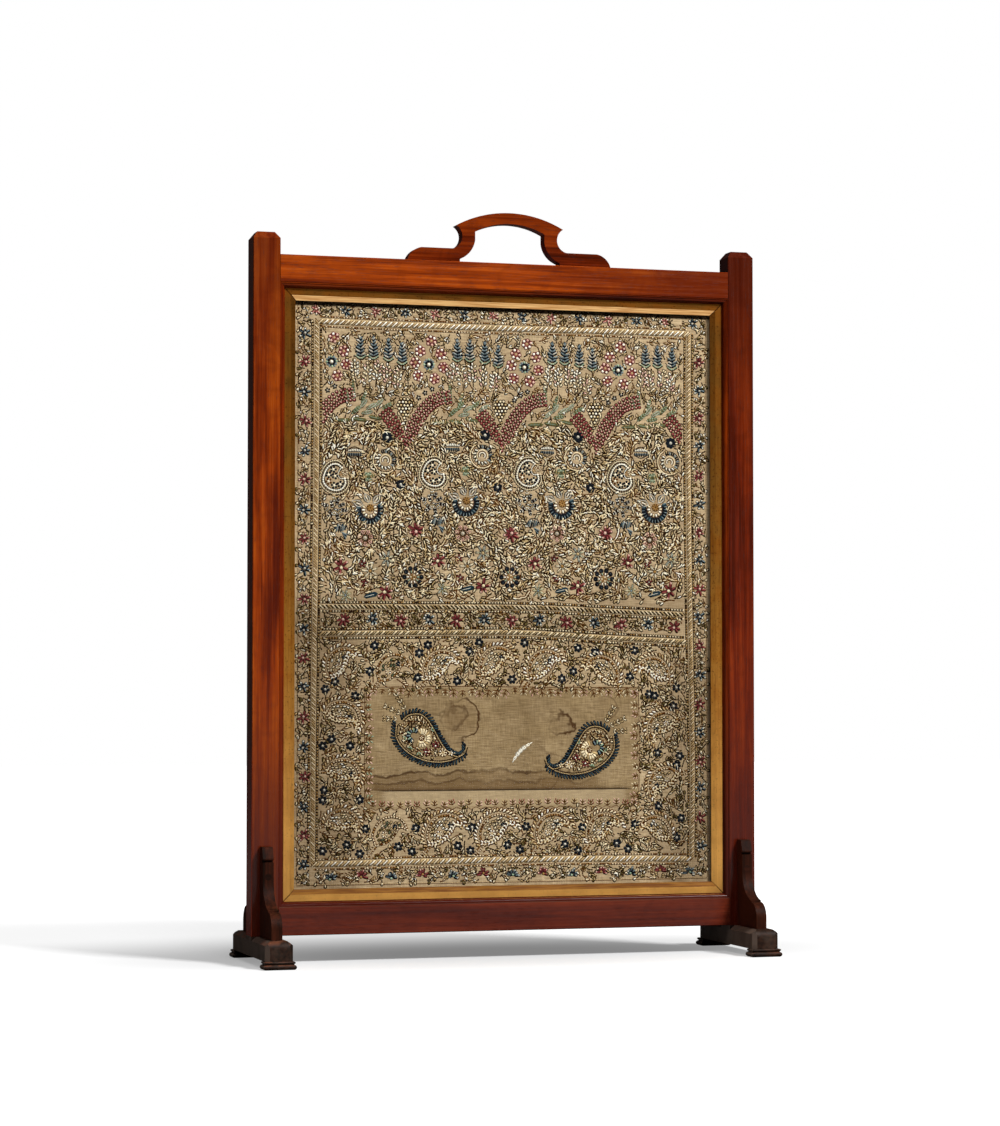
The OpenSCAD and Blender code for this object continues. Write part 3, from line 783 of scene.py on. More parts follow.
def spiral_flower(x, z):
    """A coiled bloom: a deep blue crown above and right, thin double rings, cream scallops at the left."""
    for k in range(12):
        a = -0.7 + k * 0.24
        sew("navy" if k % 3 else "slate", *polar(x, z, 7.8, a), *polar(x, z, 12.8, a + 0.1), 2.4, 0.48)
    stem("navy", arc(x, z, 12.9, -0.7, 2.0), 1.5)
    for r, thread, w in ((6.6, "cream", 1.6), (5.2, "brown", 1.3), (3.9, "white", 1.4), (2.5, "dark_brown", 1.2)):
        stem(thread, arc(x, z, r, -0.9, 3.7), w, 2.4, 0, 0.46)
    for k in range(7):
        a = 2.35 + k * 0.45
        leaf(*polar(x, z, 7.6, a), a + 0.5, 4.6, "white")
    stem("brown", arc(x, z, 14.0, 2.1, 5.5), 1.4)
    stem("cream", arc(x, z, 15.6, 2.2, 5.4), 1.7, 2.4, 0, 0.46)
    stem("dark_brown", arc(x, z, 17.2, 2.2, 5.3), 1.4)
    claim(x, z, 15)


def striped_bud(x, z):
    """A flat bud: cream above, blue fringe below."""
    for k in range(8):
        cx = x - 7.5 + k * 2.1
        edged("white", cx, z + 0.8, cx + 1.2, z + 5.4 - abs(k - 3.5) * 0.5, 1.9, "dark_brown", 0.8)
        sew("navy", cx, z, cx + (k - 3.5) * 0.35, z - 6.4 + abs(k - 3.5) * 0.6, 1.8, 0.45)
        sew("slate", cx + 1.0, z - 0.4, cx + 1.0 + (k - 3.5) * 0.3, z - 4.4, 0.9, 0.5)
    stem("dark_brown", [(x - 11, z + 1), (x, z + 7), (x + 11, z + 2)], 1.8)
    stem("navy", [(x - 9, z - 3), (x, z - 7), (x + 9, z - 3)], 1.7)
    claim(x, z, 9.5)


def lobed_leaf(x, z):
    for a, size in ((0.3, 8), (1.2, 6.5), (2.2, 6.5), (3.0, 8), (-1.1, 6.5), (4.2, 6)):
        satin_leaf(x, z, a, size, 4.6, "sage", "olive" if size > 7 else None, None, "mint" if size < 7 else "ecru")
    claim(x, z, 8)


def great_rosette(x, z):
    """The large rosette: a ring of dark blue satin blocks, open above, with a gold heart and two outlined ears."""
    for k in range(16):
        a = math.radians(-192) + math.radians(218) * k / 15
        sew("navy" if k % 5 else "teal", *polar(x, z, 10.4, a), *polar(x, z, 17.8, a), 4.4, 0.44)
        sew("slate", *polar(x, z, 12.4, a + 0.06), *polar(x, z, 17.4, a + 0.06), 1.7, 0.56)
        leaf(*polar(x, z, 18.6, a), a + 0.2, 4.0, "cream" if k % 3 else "white", 2.0, "brown", 1.3)
    for r in (11.2, 16.8):
        stem("navy", arc(x, z, r, math.radians(-192), math.radians(26)), 1.8)
    for k in range(10):
        a = math.radians(-205) + k * math.radians(26)
        leaf(*polar(x, z, 5.4, a), a, 4.8, "white" if k % 2 else "cream", 3.0, "brown", 1.0)
    ground("brown", x + 1, z + 2.5, 5.8)
    petals(x + 1, z + 2.5, 8, 0.4, 5.2, 2.2, "gold")
    pod(x - 8, z + 5, 2.75, 15, 7.5, "silver", "navy")
    pod(x - 1, z + 9, 2.0, 12, 6.5, "silver", "navy")
    pod(x + 5, z + 8, 0.95, 14, 7, "silver", "navy")
    claim(x, z, 18)


def blue_bud(x, z):
    """A bud of blue satin with a dark tail."""
    for k, high in enumerate((3.4, 5.4, 6.4, 6.0, 4.8, 3.2)):
        cx = x - 7 + k * 2.6
        sew(("teal", "slate", "navy")[k % 3], cx - 1.4, z + 1 - high, cx + 1.6, z + 1 + high, 2.6, 0.48)
        sew("silver" if k % 2 else "teal", cx - 0.4, z - high * 0.3, cx + 1.2, z + high * 0.7, 0.9, 0.56)
    sew("white", x - 3, z + 5, x + 1, z + 2.4, 1.3, 0.58)
    stem("navy", [(x - 9, z - 2), (x - 4, z + 6.5), (x + 5, z + 6.5), (x + 9, z - 1)], 1.5)
    for k in range(4):
        sew("navy" if k % 2 else "slate", x + k, z - 4 - k, x + 9 - k, z - 8 - k * 2, 2.2, 0.45)
    claim(x, z, 9.5)
    claim(x + 5, z - 9, 6)


def grey_cluster(x, z):
    """A bunch of outlined leaves, hatched grey and white."""
    for k, (cx, cz, a) in enumerate(((-9, -3, 2.4), (-4, 4, 1.8), (3, 7, 1.2), (0, -5, 4.4), (8, 3, 0.5), (-12, 3, 2.9),
                                     (6, -5, 5.4), (-6, -9, 3.7), (11, -3, 6.1), (-1, 11, 1.6), (3, -11, 4.9))):
        satin_leaf(*polar(x + cx, z + cz, -4.2, a), a, 8.6, 4.6, "white" if k % 2 else "silver", "navy", None, "dark_brown" if k % 3 else "ecru")
    stem("dark_brown", [(x - 8, z - 10), (x - 1, z), (x + 5, z + 9)], 1.6)
    claim(x, z, 15)


def pointed_flower(x, z, r, petal, heart, n, inner=None, edge="dark_brown", start=0.4):
    for k in range(n):
        a = start + k * math.tau / n
        satin_leaf(*polar(x, z, r * 0.22, a), a, r * chance.uniform(0.62, 0.95), r * 0.3, petal if k % 3 else "cream", edge, inner)
    knot(heart, x, z, r * 0.2, 0.58)
    claim(x, z, r + 0.5)


def ring_flower(x, z, r, petal, edge, heart):
    """A flower of broad pale petals round a dark ring."""
    for k in range(7):
        a = 0.2 + k * math.tau / 7
        satin_leaf(*polar(x, z, r * 0.42, a), a, r * 0.6, r * 0.62, petal, edge)
    stem("navy", arc(x, z, r * 0.36, 0, math.tau), 1.7)
    knot(heart, x, z, r * 0.2, 0.56)
    claim(x, z, r + 0.5)


def scalloped_rosette(x, z):
    """A round flower with a deep blue scalloped rim."""
    for k in range(10):
        a = k * math.tau / 10
        knot("navy", *polar(x, z, 10.6, a), 2.9, 0.44, "dark_brown", 0.7)
        sew("slate", *polar(x, z, 9.6, a + 0.06), *polar(x, z, 12.0, a + 0.06), 0.9, 0.54)
        leaf(*polar(x, z, 4.6, a), a, 3.8, "white" if k % 3 else "mint", 2.2, "brown", 1.0)
    for k in range(6):
        knot("cream" if k % 2 else "gold", *polar(x, z, 2.6, k * math.tau / 6), 1.3, 0.5, "brown", 0.5)
    knot("gold", x, z, 1.2, 0.54)
    claim(x, z, 13.5)


def cone_of_knots(x, z):
    """An egg of pale gold knots under the fork of the arms."""
    for row, (dz, many) in enumerate(((-13, 1), (-9.4, 2), (-5.6, 3), (-1.8, 4), (2.2, 5), (6.2, 4), (10, 3))):
        for k in range(many):
            cx = x + (k - (many - 1) / 2) * 4.2 + chance.uniform(-0.3, 0.3)
            cz = z + dz + chance.uniform(-0.3, 0.3)
            knot(("cream", "ecru", "white", "cream", "cream")[(k * 2 + row) % 5], cx, cz, 1.6, 0.5, "dark_brown", 1.2)
            claim(cx, cz, 3.2)


# Long stems that join the motifs of a repeat: (dx, z)
BRANCHES = (
    [(-66, 610), (-52, 603), (-38, 594), (-24, 586), (-8, 576)], [(-46, 566), (-52, 580), (-58, 598), (-60, 612)],
    [(-40, 530), (-44, 520), (-38, 505), (-24, 495)], [(-22, 480), (-8, 496), (4, 508), (13, 512)],
    [(-44, 464), (-36, 456), (-26, 452)], [(12, 474), (26, 482), (40, 480)], [(40, 520), (28, 536), (30, 548)],
    [(14, 524), (22, 534), (18, 556), (24, 572)], [(-4, 566), (8, 552), (20, 548)], [(-23, 630), (-12, 640), (-4, 652)],
    [(-4, 612), (4, 600), (12, 592)], [(48, 486), (58, 500), (62, 520), (58, 540)], [(-12, 446), (-4, 470), (-10, 490)],
)


def branch(points, fills):
    path = curve(points, 4.2)
    for k, (x, z, a) in enumerate(path):
        if not in_upper_field(x, z):
            continue
        if k and in_upper_field(*path[k - 1][:2]):
            sew("dark_brown", *path[k - 1][:2], x, z, 2.3, 0.4)
        for side in (-1, 1):
            lean = a + side * 0.8
            tip = polar(x, z, 5.4, lean)
            if is_free(*tip) and in_upper_field(*tip):
                leaf(*polar(x, z, 1.2, lean), lean, 4.2, chance.choice(fills), 2.0)
                claim(*polar(x, z, 3.4, lean), 1.5)
        claim(x, z, 1.8)


def stray(x):
    """How far the lower motifs have slipped up or down from the common drawing."""
    if x < -145:
        return -6
    return -2 if x > 180 else 2.5


PALE = ["cream", "ecru", "cream", "white", "ecru", "cream"]


def work_repeat(x0):
    """One repeat of the upper field, placed by the tip of its knotted arms."""
    def each(places, make, *more):
        for dx, z in places:
            x = x0 + dx
            if z < 640:
                x += chance.uniform(-1.5, 1.5)
                z += stray(x) + chance.uniform(-1.5, 1.5)
            if in_upper_field(x, z) and abs(x) < 226:
                make(x, z, *more)

    knotted_arm([(x0, 618), (x0 + 8, 642), (x0 + 20, 662), (x0 + 36, 678), (x0 + 56, 683)], 4)
    knotted_arm([(x0 - 1, 624), (x0 - 9, 638), (x0 - 18, 652), (x0 - 27, 663)], 4, 0.25)
    each([(-57, 729), (-41, 729), (-22, 727), (-5, 723)], spike)
    each([(-63, 702), (-50, 699), (-37, 702), (-24, 698), (-11, 692)], ear)
    each([(-2, 669)], cone_of_knots)
    each([(29, 722)], ringed_eyelet)
    for dx, z in ((32, 751), (18, 738), (44, 735), (12, 724), (47, 719), (15, 708), (36, 705)):
        each([(dx, z)], rosette, 7.2, "pink", "wine", "ecru", 6 + dx % 2)
    each([(33, 692), (24, 687), (16, 681)], eyelet, 3.0, 5)
    for dx, z, a, size in ((57, 676, 1.65, 24), (66, 672, 1.2, 18), (51, 674, 1.9, 14)):
        if in_upper_field(x0 + dx, z):
            satin_leaf(x0 + dx, z, a, size, 4.0, "sage", "olive", None, "mint")
    for dx, z, a, size, thread in ((33, 651, 0.05, 21, "sage"), (54, 654, -0.12, 20, "sage"), (75, 657, -0.2, 18, "sage"),
                                   (54, 659, 0.75, 12, "mint"), (64, 666, 0.9, 12, "mint"), (72, 665, 0.55, 12, "mint"),
                                   (82, 668, 0.75, 13, "mint"), (92, 666, 0.55, 13, "mint"), (66, 660, 0.2, 12, "mint")):
        if in_upper_field(x0 + dx, z) and in_upper_field(x0 + dx + size * 0.8, z):
            if thread == "sage":
                satin_leaf(x0 + dx, z, a, size, 5.0, "sage", "olive", "mint", "olive")
            else:
                satin_leaf(x0 + dx, z, a, size + 3, 5.4, "mint", "olive", None, chance.choice(("sage", "silver")))
    stem("dark_brown", [(x, z) for x, z in ((x0 + 13, 652), (x0 + 30, 644), (x0 + 46, 648), (x0 + 56, 664))
                        if in_upper_field(x, z)] or [(x0 + 13, 652), (x0 + 14, 651)], 1.1)
    each([(-23, 636)], eyelet, 6.0, 8)
    each([(-64, 619)], striped_bud)
    each([(-26, 610)], spiral_flower)
    each([(34, 588)], scroll)
    each([(-47, 590)], lobed_leaf)
    each([(-6, 572)], eyelet, 5.2, 7)
    each([(-46, 550)], great_rosette)
    each([(41, 527)], blue_bud)
    each([(33, 551)], grey_cluster)
    each([(13, 515)], star, 11, "wine", "pink", "rose", 8, 0.2, math.tau, "pink")
    each([(-51, 514)], ring_flower, 9.4, "pink", "brown", "silver")
    each([(-24, 489)], pointed_flower, 9.5, "silver", "ecru", 7, "mint", "navy")
    each([(41, 480)], star, 10.5, "wine", "cream", "rose", 6, 0.5, math.tau, "pink")
    each([(-44, 474)], pointed_flower, 9.5, "cream", "gold", 7, "white", "dark_brown")
    each([(-55, 484), (-52, 459)], star, 5.4, "wine", "silver", "rose", 5)
    each([(10, 461)], scalloped_rosette)
    each([(-25, 449)], star, 11, "wine", "cream", "rose", 6, 0.3, math.tau, "pink")
    each([(-54, 444)], satin_leaf, 0.25, 18, 6.4, "teal", "navy", "white")
    each([(47, 446)], pointed_flower, 8, "silver", "slate", 7, "mint", "olive")
    for points in BRANCHES:
        branch([(x0 + dx, z) for dx, z in points], PALE)


def work_upper_field():
    for k in range(-2, 3):
        work_repeat(-5 + 122 * k)
    fill_with_leaves(-229, 230, 488, 655, PALE, in_upper_field)
    fill_with_leaves(-229, 230, 436, 488, PALE, in_upper_field, (30, 18, 9), 7.8, 0.6)
    fill_with_leaves(-229, 230, 655, 760, ["cream", "ecru", "white", "ecru"], in_upper_field, (16, 9), 6.2, 0.4)


def work_flower_strip():
    for k in range(13):
        x = -204 + k * 35.3
        z = 410 - 7 * max(0.0, (x - 40) / 190)
        if k % 2:
            star(x, z + 1, 8.8, "navy", "silver", "slate", 7, chance.uniform(0, 1), tip="white")
        else:
            star(x, z, 9.2, "wine", "pink", "rose", 7, chance.uniform(0, 1), tip="pink" if k % 4 else None)
    fill_with_leaves(-230, 230, 397, 422, ["ecru", "cream", "ecru", "olive"],
                     lambda x, z: abs(x) < 230 and 397 < z < 422, (16, 8), 6.2, 1.5)


BOTEH_RIM = [(-133, 290), (-125, 297), (-110, 299), (-98, 292), (-87, 275), (-77, 258), (-67, 249), (-60, 247), (-55, 250),
             (-53, 257)]
BOTEH_BELLY = [(-50, 250), (-58, 241), (-78, 235), (-100, 236), (-121, 244), (-135, 256), (-142, 269), (-141, 284)]


def within(x, z, outline):
    """Whether a place lies inside a closed outline."""
    inside = False
    for (x0, z0), (x1, z1) in zip(outline, outline[1:] + outline[:1]):
        if (z0 > z) != (z1 > z) and x < x0 + (z - z0) * (x1 - x0) / (z1 - z0):
            inside = not inside
    return inside


BOTEH_INNER = [(-134, 284), (-128, 291), (-113, 294), (-101, 288), (-92, 273), (-82, 256), (-70, 248), (-60, 246),
               (-80, 243), (-100, 244), (-117, 251), (-130, 262), (-135, 273), (-134, 284)]


def big_boteh(mirror, shift):
    """A large boteh with a blue feather-stitched rim and a filling of flowers."""
    def at(x, z):
        return (-x + 1 if mirror else x), z + shift

    def lean_to(angle):
        return math.pi - angle if mirror else angle

    for line in (BOTEH_RIM, BOTEH_BELLY):
        line = offset_line(line, -3.0, 8)
        stem("navy", [at(*p) for p in offset_line(line, 1.5, 8)], 2.2, 3, 0, 0.22)
        stem("ecru", [at(*p) for p in line], 1.1, 3, 0, 0.5)
        stem("dark_brown", [at(*p) for p in offset_line(line, -1.4, 8)], 1.8, 3, 0, 0.4)
        for k, (x, z, a) in enumerate(curve(line, 3.5)):
            b = a + 1.0
            far = chance.uniform(7.0, 8.6)
            sew("navy", *at(*polar(x, z, 0.4, b)), *at(*polar(x, z, far + 0.8, b)), 3.6, 0.3)
            sew("teal" if k % 3 else "navy", *at(*polar(x, z, 1.4, b)), *at(*polar(x, z, far, b)), 2.2, 0.5)
            sew("slate", *at(*polar(x, z, 3.4, b)), *at(*polar(x, z, far - 1, b)), 0.8, 0.58)
            claim(*at(x, z), 5)
            claim(*at(*polar(x, z, 5, b)), 3)
    inner = [at(-100 + (x + 100) * 0.9, 268 + (z - 268) * 0.88) for x, z in BOTEH_INNER]
    beads("cream", inner, 1.4, 3.8, 2.4, 0.46)
    stem("brown", inner, 2.6, 3, 0.1, 0.26)
    stem("brown", [at(*p) for p in ((-131, 276), (-124, 285), (-114, 287), (-107, 281), (-112, 277))], 1.3)
    cx, cz = at(-107, 267)
    for k in range(13):
        a = lean_to(-2.4 + k * 0.34)
        sew("cream" if k % 4 else "ecru", *polar(cx, cz, 3.6, a), *polar(cx, cz, 12.4, a + 0.3), 3.6, 0.36)
    for many, far in ((6, 3.2), (11, 6.8)):
        stem("brown", [polar(cx, cz, far, lean_to(-2.4 + k * 3.9 / many)) for k in range(many)], 1.7, 2.5, 0, 0.5)
    ground("brown", cx, cz, 3.8)
    petals(cx, cz, 5, 0.4, 2.8, 1.4, "cream")
    claim(cx, cz, 12)
    cx, cz = at(-117, 270)
    claim(cx, cz, 9)
    for k in range(7):
        a = lean_to(1.0 + k * 0.55)
        leaf(*polar(cx, cz, 3.4, a), a, 6.4, ("slate", "mint")[k % 2], 2.4, "navy", 1.7)
    for x, z in ((-101, 250), (-89, 258)):
        star(*at(x, z), 5.6, "wine", "white", "rose", 6)
    rosette(*at(-80, 249), 5.6, "cream", "brown", "gold", 7)
    rosette(*at(-70, 248.5), 3.4, "cream", "brown", "gold", 5)
    for x, z, a in ((-126, 268, 3.6), (-120, 257, 4.2), (-111, 250, 4.9), (-95, 276, 0.4)):
        for k in (-0.6, 0.1, 0.8):
            leaf(*at(x, z), lean_to(a + k), 5.0, "sage" if k == 0.1 else "mint", 1.9, "olive", 1.2)
    for x, z, a, many in ((-134, 297, 2.7, 5), (-128, 302, 2.1, 5), (-138, 290, 3.1, 4)):
        for k in range(many):
            px, pz = polar(x, z, 4.6 * k, a)
            for side in (-1, 1):
                leaf(*at(px, pz), lean_to(a + side * 0.7), 4.8, ("cream", "ecru")[k % 2], 1.6, "dark_brown", 0.6)
            claim(*at(px, pz), 5)
        stem("dark_brown", [at(x, z), at(*polar(x, z, 4.6 * many, a))], 1.2)
    outline = [at(*p) for p in BOTEH_INNER]
    low = min(p[0] for p in outline)
    fill_with_leaves(low, low + 76, 240 + shift, 296 + shift, ["cream", "ecru", "ecru", "cream"],
                     lambda px, pz: within(px, pz, outline), (14, 8, 5), 5.0, 2.0)


def herringbone(points, fill, size=5.8, pitch=4.3):
    """Fat leaves in pairs along a line."""
    for x, z, a in curve(points, pitch):
        for side in (-1, 1):
            leaf(x, z, a + side * 0.75, size, fill if chance.random() < 0.85 else "ecru", 2.5, "brown", 1.4)


PAISLEY_BACK = [(-0.82, -0.73), (-1.0, -0.14), (-0.6, 0.64), (0.1, 0.9), (0.77, 0.68), (1.05, 0.14)]
PAISLEY_FRONT = [(1.05, 0.14), (0.73, 0.41), (0.41, 0.0), (0.05, -0.45), (-0.5, -0.73), (-0.82, -0.73)]


GRAINS = (("ecru", "cream", "ecru", "olive", "sage"), ("white", "cream", "cream", "ecru"), ("cream", "ecru", "cream", "ecru", "white"))


def paisley(x, z, size, turn=0.0, mirror=False, rich=0):
    """A small boteh: a beaded rim, slanting leaves along its back, grains and flowers inside and a beaded stalk."""
    def at(a, b):
        a = -a if mirror else a
        return (x + size * (a * math.cos(turn) - b * math.sin(turn)), z + size * (a * math.sin(turn) + b * math.cos(turn)))

    back = [at(*p) for p in PAISLEY_BACK]
    front = [at(*p) for p in PAISLEY_FRONT]
    hand = -1 if mirror else 1
    beaded_line(back, 0.0, 4.6, "cream", "brown", 3.4)
    beaded_line(front, 0.0, 4.2, "cream", "brown", 3.4)
    if rich:
        for px, pz, a in curve(offset_line(back, 3.6 * hand, 6), 4.2):
            leaf(px, pz, a + hand * chance.uniform(0.7, 1.0), 5.6, chance.choice(GRAINS[rich]), 2.7, "brown", 1.2)
            claim(px, pz, 4.8)
        herringbone(offset_line(front, -1.8 * hand, 6), "cream" if rich == 2 else "white", 4.4)
    outline = [at(a * 0.86, b * 0.86) for a, b in PAISLEY_BACK + PAISLEY_FRONT[1:]]
    star(*at(0.32, 0.36), size * 0.15, "navy", "silver", "teal", 5)
    rosette(*at(-0.3, -0.12), size * 0.2, "cream", "brown", "gold", 6)
    step = 4.4
    for i in range(-6, 7):
        for j in range(-6, 7):
            px = x + (i + 0.5 * (j % 2)) * step + chance.uniform(-0.6, 0.6)
            pz = z + j * step * 0.9 + chance.uniform(-0.6, 0.6)
            if within(px, pz, outline) and is_free(px, pz):
                leaf(*polar(px, pz, -1.9, turn + 0.9 * hand), turn + 0.9 * hand + chance.uniform(-0.5, 0.5), 3.9,
                     chance.choice(GRAINS[rich]), 2.3, "dark_brown", 0.9)
    for line in (front, back):
        for px, pz, a in curve(line, 4):
            claim(px, pz, 4.4)
    claim(*at(-0.1, 0.1), size * 0.6)
    foot = at(-0.8, -0.7)
    heel = at(-1.3, -1.35)
    for side in (-1, 1):
        beaded_line([foot, heel], side * 1.8, 3.0, "cream", "brown", 3.2)
    claim((foot[0] + heel[0]) / 2, (foot[1] + heel[1]) / 2, 5)


def little_sprig(x, z, angle, thread="pink", size=8.5):
    """A pronged sprig of the cartouche's fringe."""
    sew("brown", x, z, *polar(x, z, size, angle), 1.6)
    for side in (-1, 1):
        for far, turn in ((0.1, 1.0), (0.42, 0.75)):
            p = polar(x, z, size * far, angle)
            sew("brown", *p, *polar(*p, size * 0.62, angle + side * turn), 1.4)
            q = polar(*p, size * 0.3, angle + side * turn)
            sew(thread, *q, *polar(*q, size * 0.42, angle + side * turn * 0.6), 1.5, 0.42)
    claim(x, z, 3)


def in_plain_ground(x, z):
    return -176 < x < 170 and 182 < z < 326


def in_lower_field(x, z):
    return -234 < x < 235 and 124 < z < 387 and not in_plain_ground(x, z)


def work_lower_field():
    big_boteh(False, 0)
    big_boteh(True, -16)
    for x, size, rich in ((-147, 21, 0), (-78, 22, 1), (-11, 22, 1), (60, 21, 2), (126, 20, 2)):
        paisley(x, 153, size, 0.0, False, rich)
    for x, z, rich in ((-143, 350, 0), (-83, 353, 1), (-12, 358, 2), (50, 354, 1), (124, 347, 2)):
        paisley(x, z, 20, 0.0, x > 100, rich)
    for x, z, size, turn, flip, rich in ((-207, 357, 18, 0.3, False, 1), (-205, 293, 20, -0.9, False, 2),
                                         (-204, 224, 19, -0.9, False, 2), (-205, 164, 18, -0.7, False, 2),
                                         (192, 348, 18, 0.2, True, 1), (204, 279, 19, 1.2, True, 2),
                                         (205, 210, 19, 1.2, True, 2), (194, 151, 18, 0.1, True, 2)):
        paisley(x, z, size, turn, flip, rich)
    spots = ((-166, 379), (-99, 380), (-172, 348), (-34, 383), (24, 383), (93, 377), (167, 374), (87, 348), (161, 342),
             (-112, 340), (-62, 336), (8, 338), (72, 339), (-46, 372), (-110, 370), (115, 372),
             (-215, 335), (-227, 326), (-190, 318), (-219, 266), (-230, 258), (-196, 258), (-228, 205), (-230, 193),
             (-184, 193), (-177, 158), (-230, 132), (-200, 139), (-184, 128), (-114, 158), (-136, 136), (-119, 130),
             (-43, 158), (-61, 136), (-45, 130), (2, 136), (18, 130), (26, 158), (76, 136), (93, 128), (98, 156),
             (143, 136), (158, 129), (167, 159), (198, 181), (228, 166), (222, 142), (222, 328), (193, 318), (218, 305),
             (197, 247), (226, 243), (222, 232), (186, 320))
    for x, z in spots:
        eyelet(x, z, 5.0, 6)
    for k in range(31):
        little_sprig(-168 + k * 11.1, 183 + chance.uniform(-1.5, 1.5), math.pi / 2 + chance.uniform(-0.25, 0.25),
                     ("pink", "rose", "pink", "ecru")[k % 4])
    for k in range(31):
        little_sprig(-166 + k * 11.1, 328 + chance.uniform(-2, 2), -math.pi / 2 + chance.uniform(-0.35, 0.35),
                     ("pink", "ecru", "cream")[k % 3], chance.uniform(8, 13))
    for k in range(11):
        little_sprig(-178, 192 + k * 12.4, chance.uniform(-0.3, 0.3), "pink" if k % 3 else "mint", chance.uniform(8, 11))
        little_sprig(172, 195 + k * 12.4, math.pi + chance.uniform(-0.3, 0.3), "cream" if k % 2 else "pink",
                     chance.uniform(8, 12))
    stem("brown", [(-178, 182), (-178, 260), (-178, 322)], 1.2)
    stem("brown", [(172, 182), (173, 260), (172, 322)], 1.2)
    stem("brown", [(-176, 328.5), (-80, 329.5), (20, 329), (170, 328)], 1.2)
    zigzag = [(-176 + k * 6, 181 + (2 if k % 2 else -1)) for k in range(59)]
    stem("brown", zigzag, 1.0)
    fill_with_leaves(-234, 234, 124, 387, ["cream", "ecru", "ecru", "cream", "olive"], in_lower_field,
                     (20, 12, 7), 6.8, 0.36)
    # A pale streak over the plain ground: white stitches, silver at its edges.
    pale_streak = offset_line([(8, 236), (13, 244), (19, 251), (27, 257), (34, 261)], 0, 2)
    for by in (-2.0, -1.0, 0.0, 1.0, 2.0):
        short = round(abs(by) * 2.4)
        stem("white" if short < 4 else "silver", offset_line(pale_streak, by, 2)[short:len(pale_streak) - short], 1.5, 6, 0.05, 0.25)


STITCH_SIDES = ((1, 2, 5, 4), (2, 3, 6, 5), (0, 2, 1), (0, 3, 2), (7, 4, 5), (7, 5, 6), (0, 1, 4, 7, 6, 3))
KNOT_SIDES = 8


def cloth_y(x, z):
    """The front face of the linen at a place: a tuck, a slight slackness between the stitches."""
    over = z - TUCK_Z
    y = LINEN_Y + 0.05 * math.sin(x / 17 + z / 29) * math.sin(z / 21)
    if abs(x) < 158 and 0 <= over < 22:
        y -= 0.38 * (1 - over / 22) ** 2
    return y


def thread_mesh(name, stitches, knots):
    """All the stitches of one thread in one part of the work, each a closed rounded sliver."""
    points = []
    faces = []
    for x0, z0, x1, z1, w, h in stitches:
        dx = x1 - x0
        dz = z1 - z0
        long = math.hypot(dx, dz) or 0.01
        sx = -dz / long * w / 2
        sz = dx / long * w / 2
        ground = cloth_y((x0 + x1) / 2, (z0 + z1) / 2)
        seat = ground + 0.06
        first = len(points)
        points.append((x0, seat, z0))
        for t in (0.2, 0.8):
            cx = x0 + dx * t
            cz = z0 + dz * t
            points += [(cx + sx, seat, cz + sz), (cx, ground - h, cz), (cx - sx, seat, cz - sz)]
        points.append((x1, seat, z1))
        faces += [tuple(first + i for i in side) for side in STITCH_SIDES]
    for x, z, r, h in knots:
        first = len(points)
        ground = cloth_y(x, z)
        for share, lift in ((1.0, -0.06), (0.75, h * 0.75)):
            for k in range(KNOT_SIDES):
                cx, cz = polar(x, z, r * share, -math.tau * k / KNOT_SIDES)
                points.append((cx, ground - lift, cz))
        points.append((x, ground - h, z))
        n = KNOT_SIDES
        for k in range(n):
            m = (k + 1) % n
            faces.append((first + m, first + k, first + n + k, first + n + m))
            faces.append((first + n + m, first + n + k, first + 2 * n))
        faces.append(tuple(first + k for k in range(n)))
    mesh = bpy.data.meshes.new(name)
    mesh.from_pydata([(x * MM, y * MM, z * MM) for x, y, z in points], [], faces)
    mesh.shade_smooth()
    return mesh


def add_piece(name, mesh, finish):
    piece = bpy.data.objects.new(name, mesh)
    bpy.context.scene.collection.objects.link(piece)
    mesh.materials.append(finish)
    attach(piece, "root")
    return piece


def work_embroidery():
    """Works every thread and returns the pieces."""
    work_borders()
    work_upper_field()
    work_flower_strip()
    work_lower_field()
    pieces = []
    finishes = {t: silk("silk_" + t, srgb(*a), srgb(*b)) for t, (a, b) in THREADS.items()}
    for key in sorted(set(straight) | set(round_knots)):
        thread, part = key
        mesh = thread_mesh("silk_" + thread + "_" + part, straight[key], round_knots[key])
        pieces.append(add_piece(mesh.name, mesh, finishes[thread]))
    print("stitches", sum(map(len, straight.values())), "knots", sum(map(len, round_knots.values())),
          "most in one piece", max(map(len, straight.values())))
    return pieces


# Linen
def soil(f):
    """How dirty the needlework is at a place: worst beside the rope bands, down the left side and along the borders."""
    x, y, z = f.axes()
    drift = (f.noise((14, 14, 14), (7, 2, 4), detail=4, rough=0.6) - 0.5) * 0.05
    band = f.spread(z + drift, 0.372, 0.40) * f.spread(z + drift, 0.452, 0.425)
    column = f.spread(x + drift, -0.16, -0.215) * f.spread(z, 0.46, 0.38)
    right = f.spread(x + drift, 0.17, 0.225) * f.spread(z, 0.40, 0.34)
    return band * 0.17 + column * 0.42 + right * 0.42


def slip_shadow_paint(f):
    """Painted shadow: a black line close under the top of the gilt slip, and a lighter painted shade beside the right
    slip.
    """
    x, y, z = f.axes()
    return f.spread(z, 0.7888, 0.7902) * 0.85 + f.spread(x, 0.2605, 0.2625) * f.spread(z, 0.7888, 0.7882) * 0.2


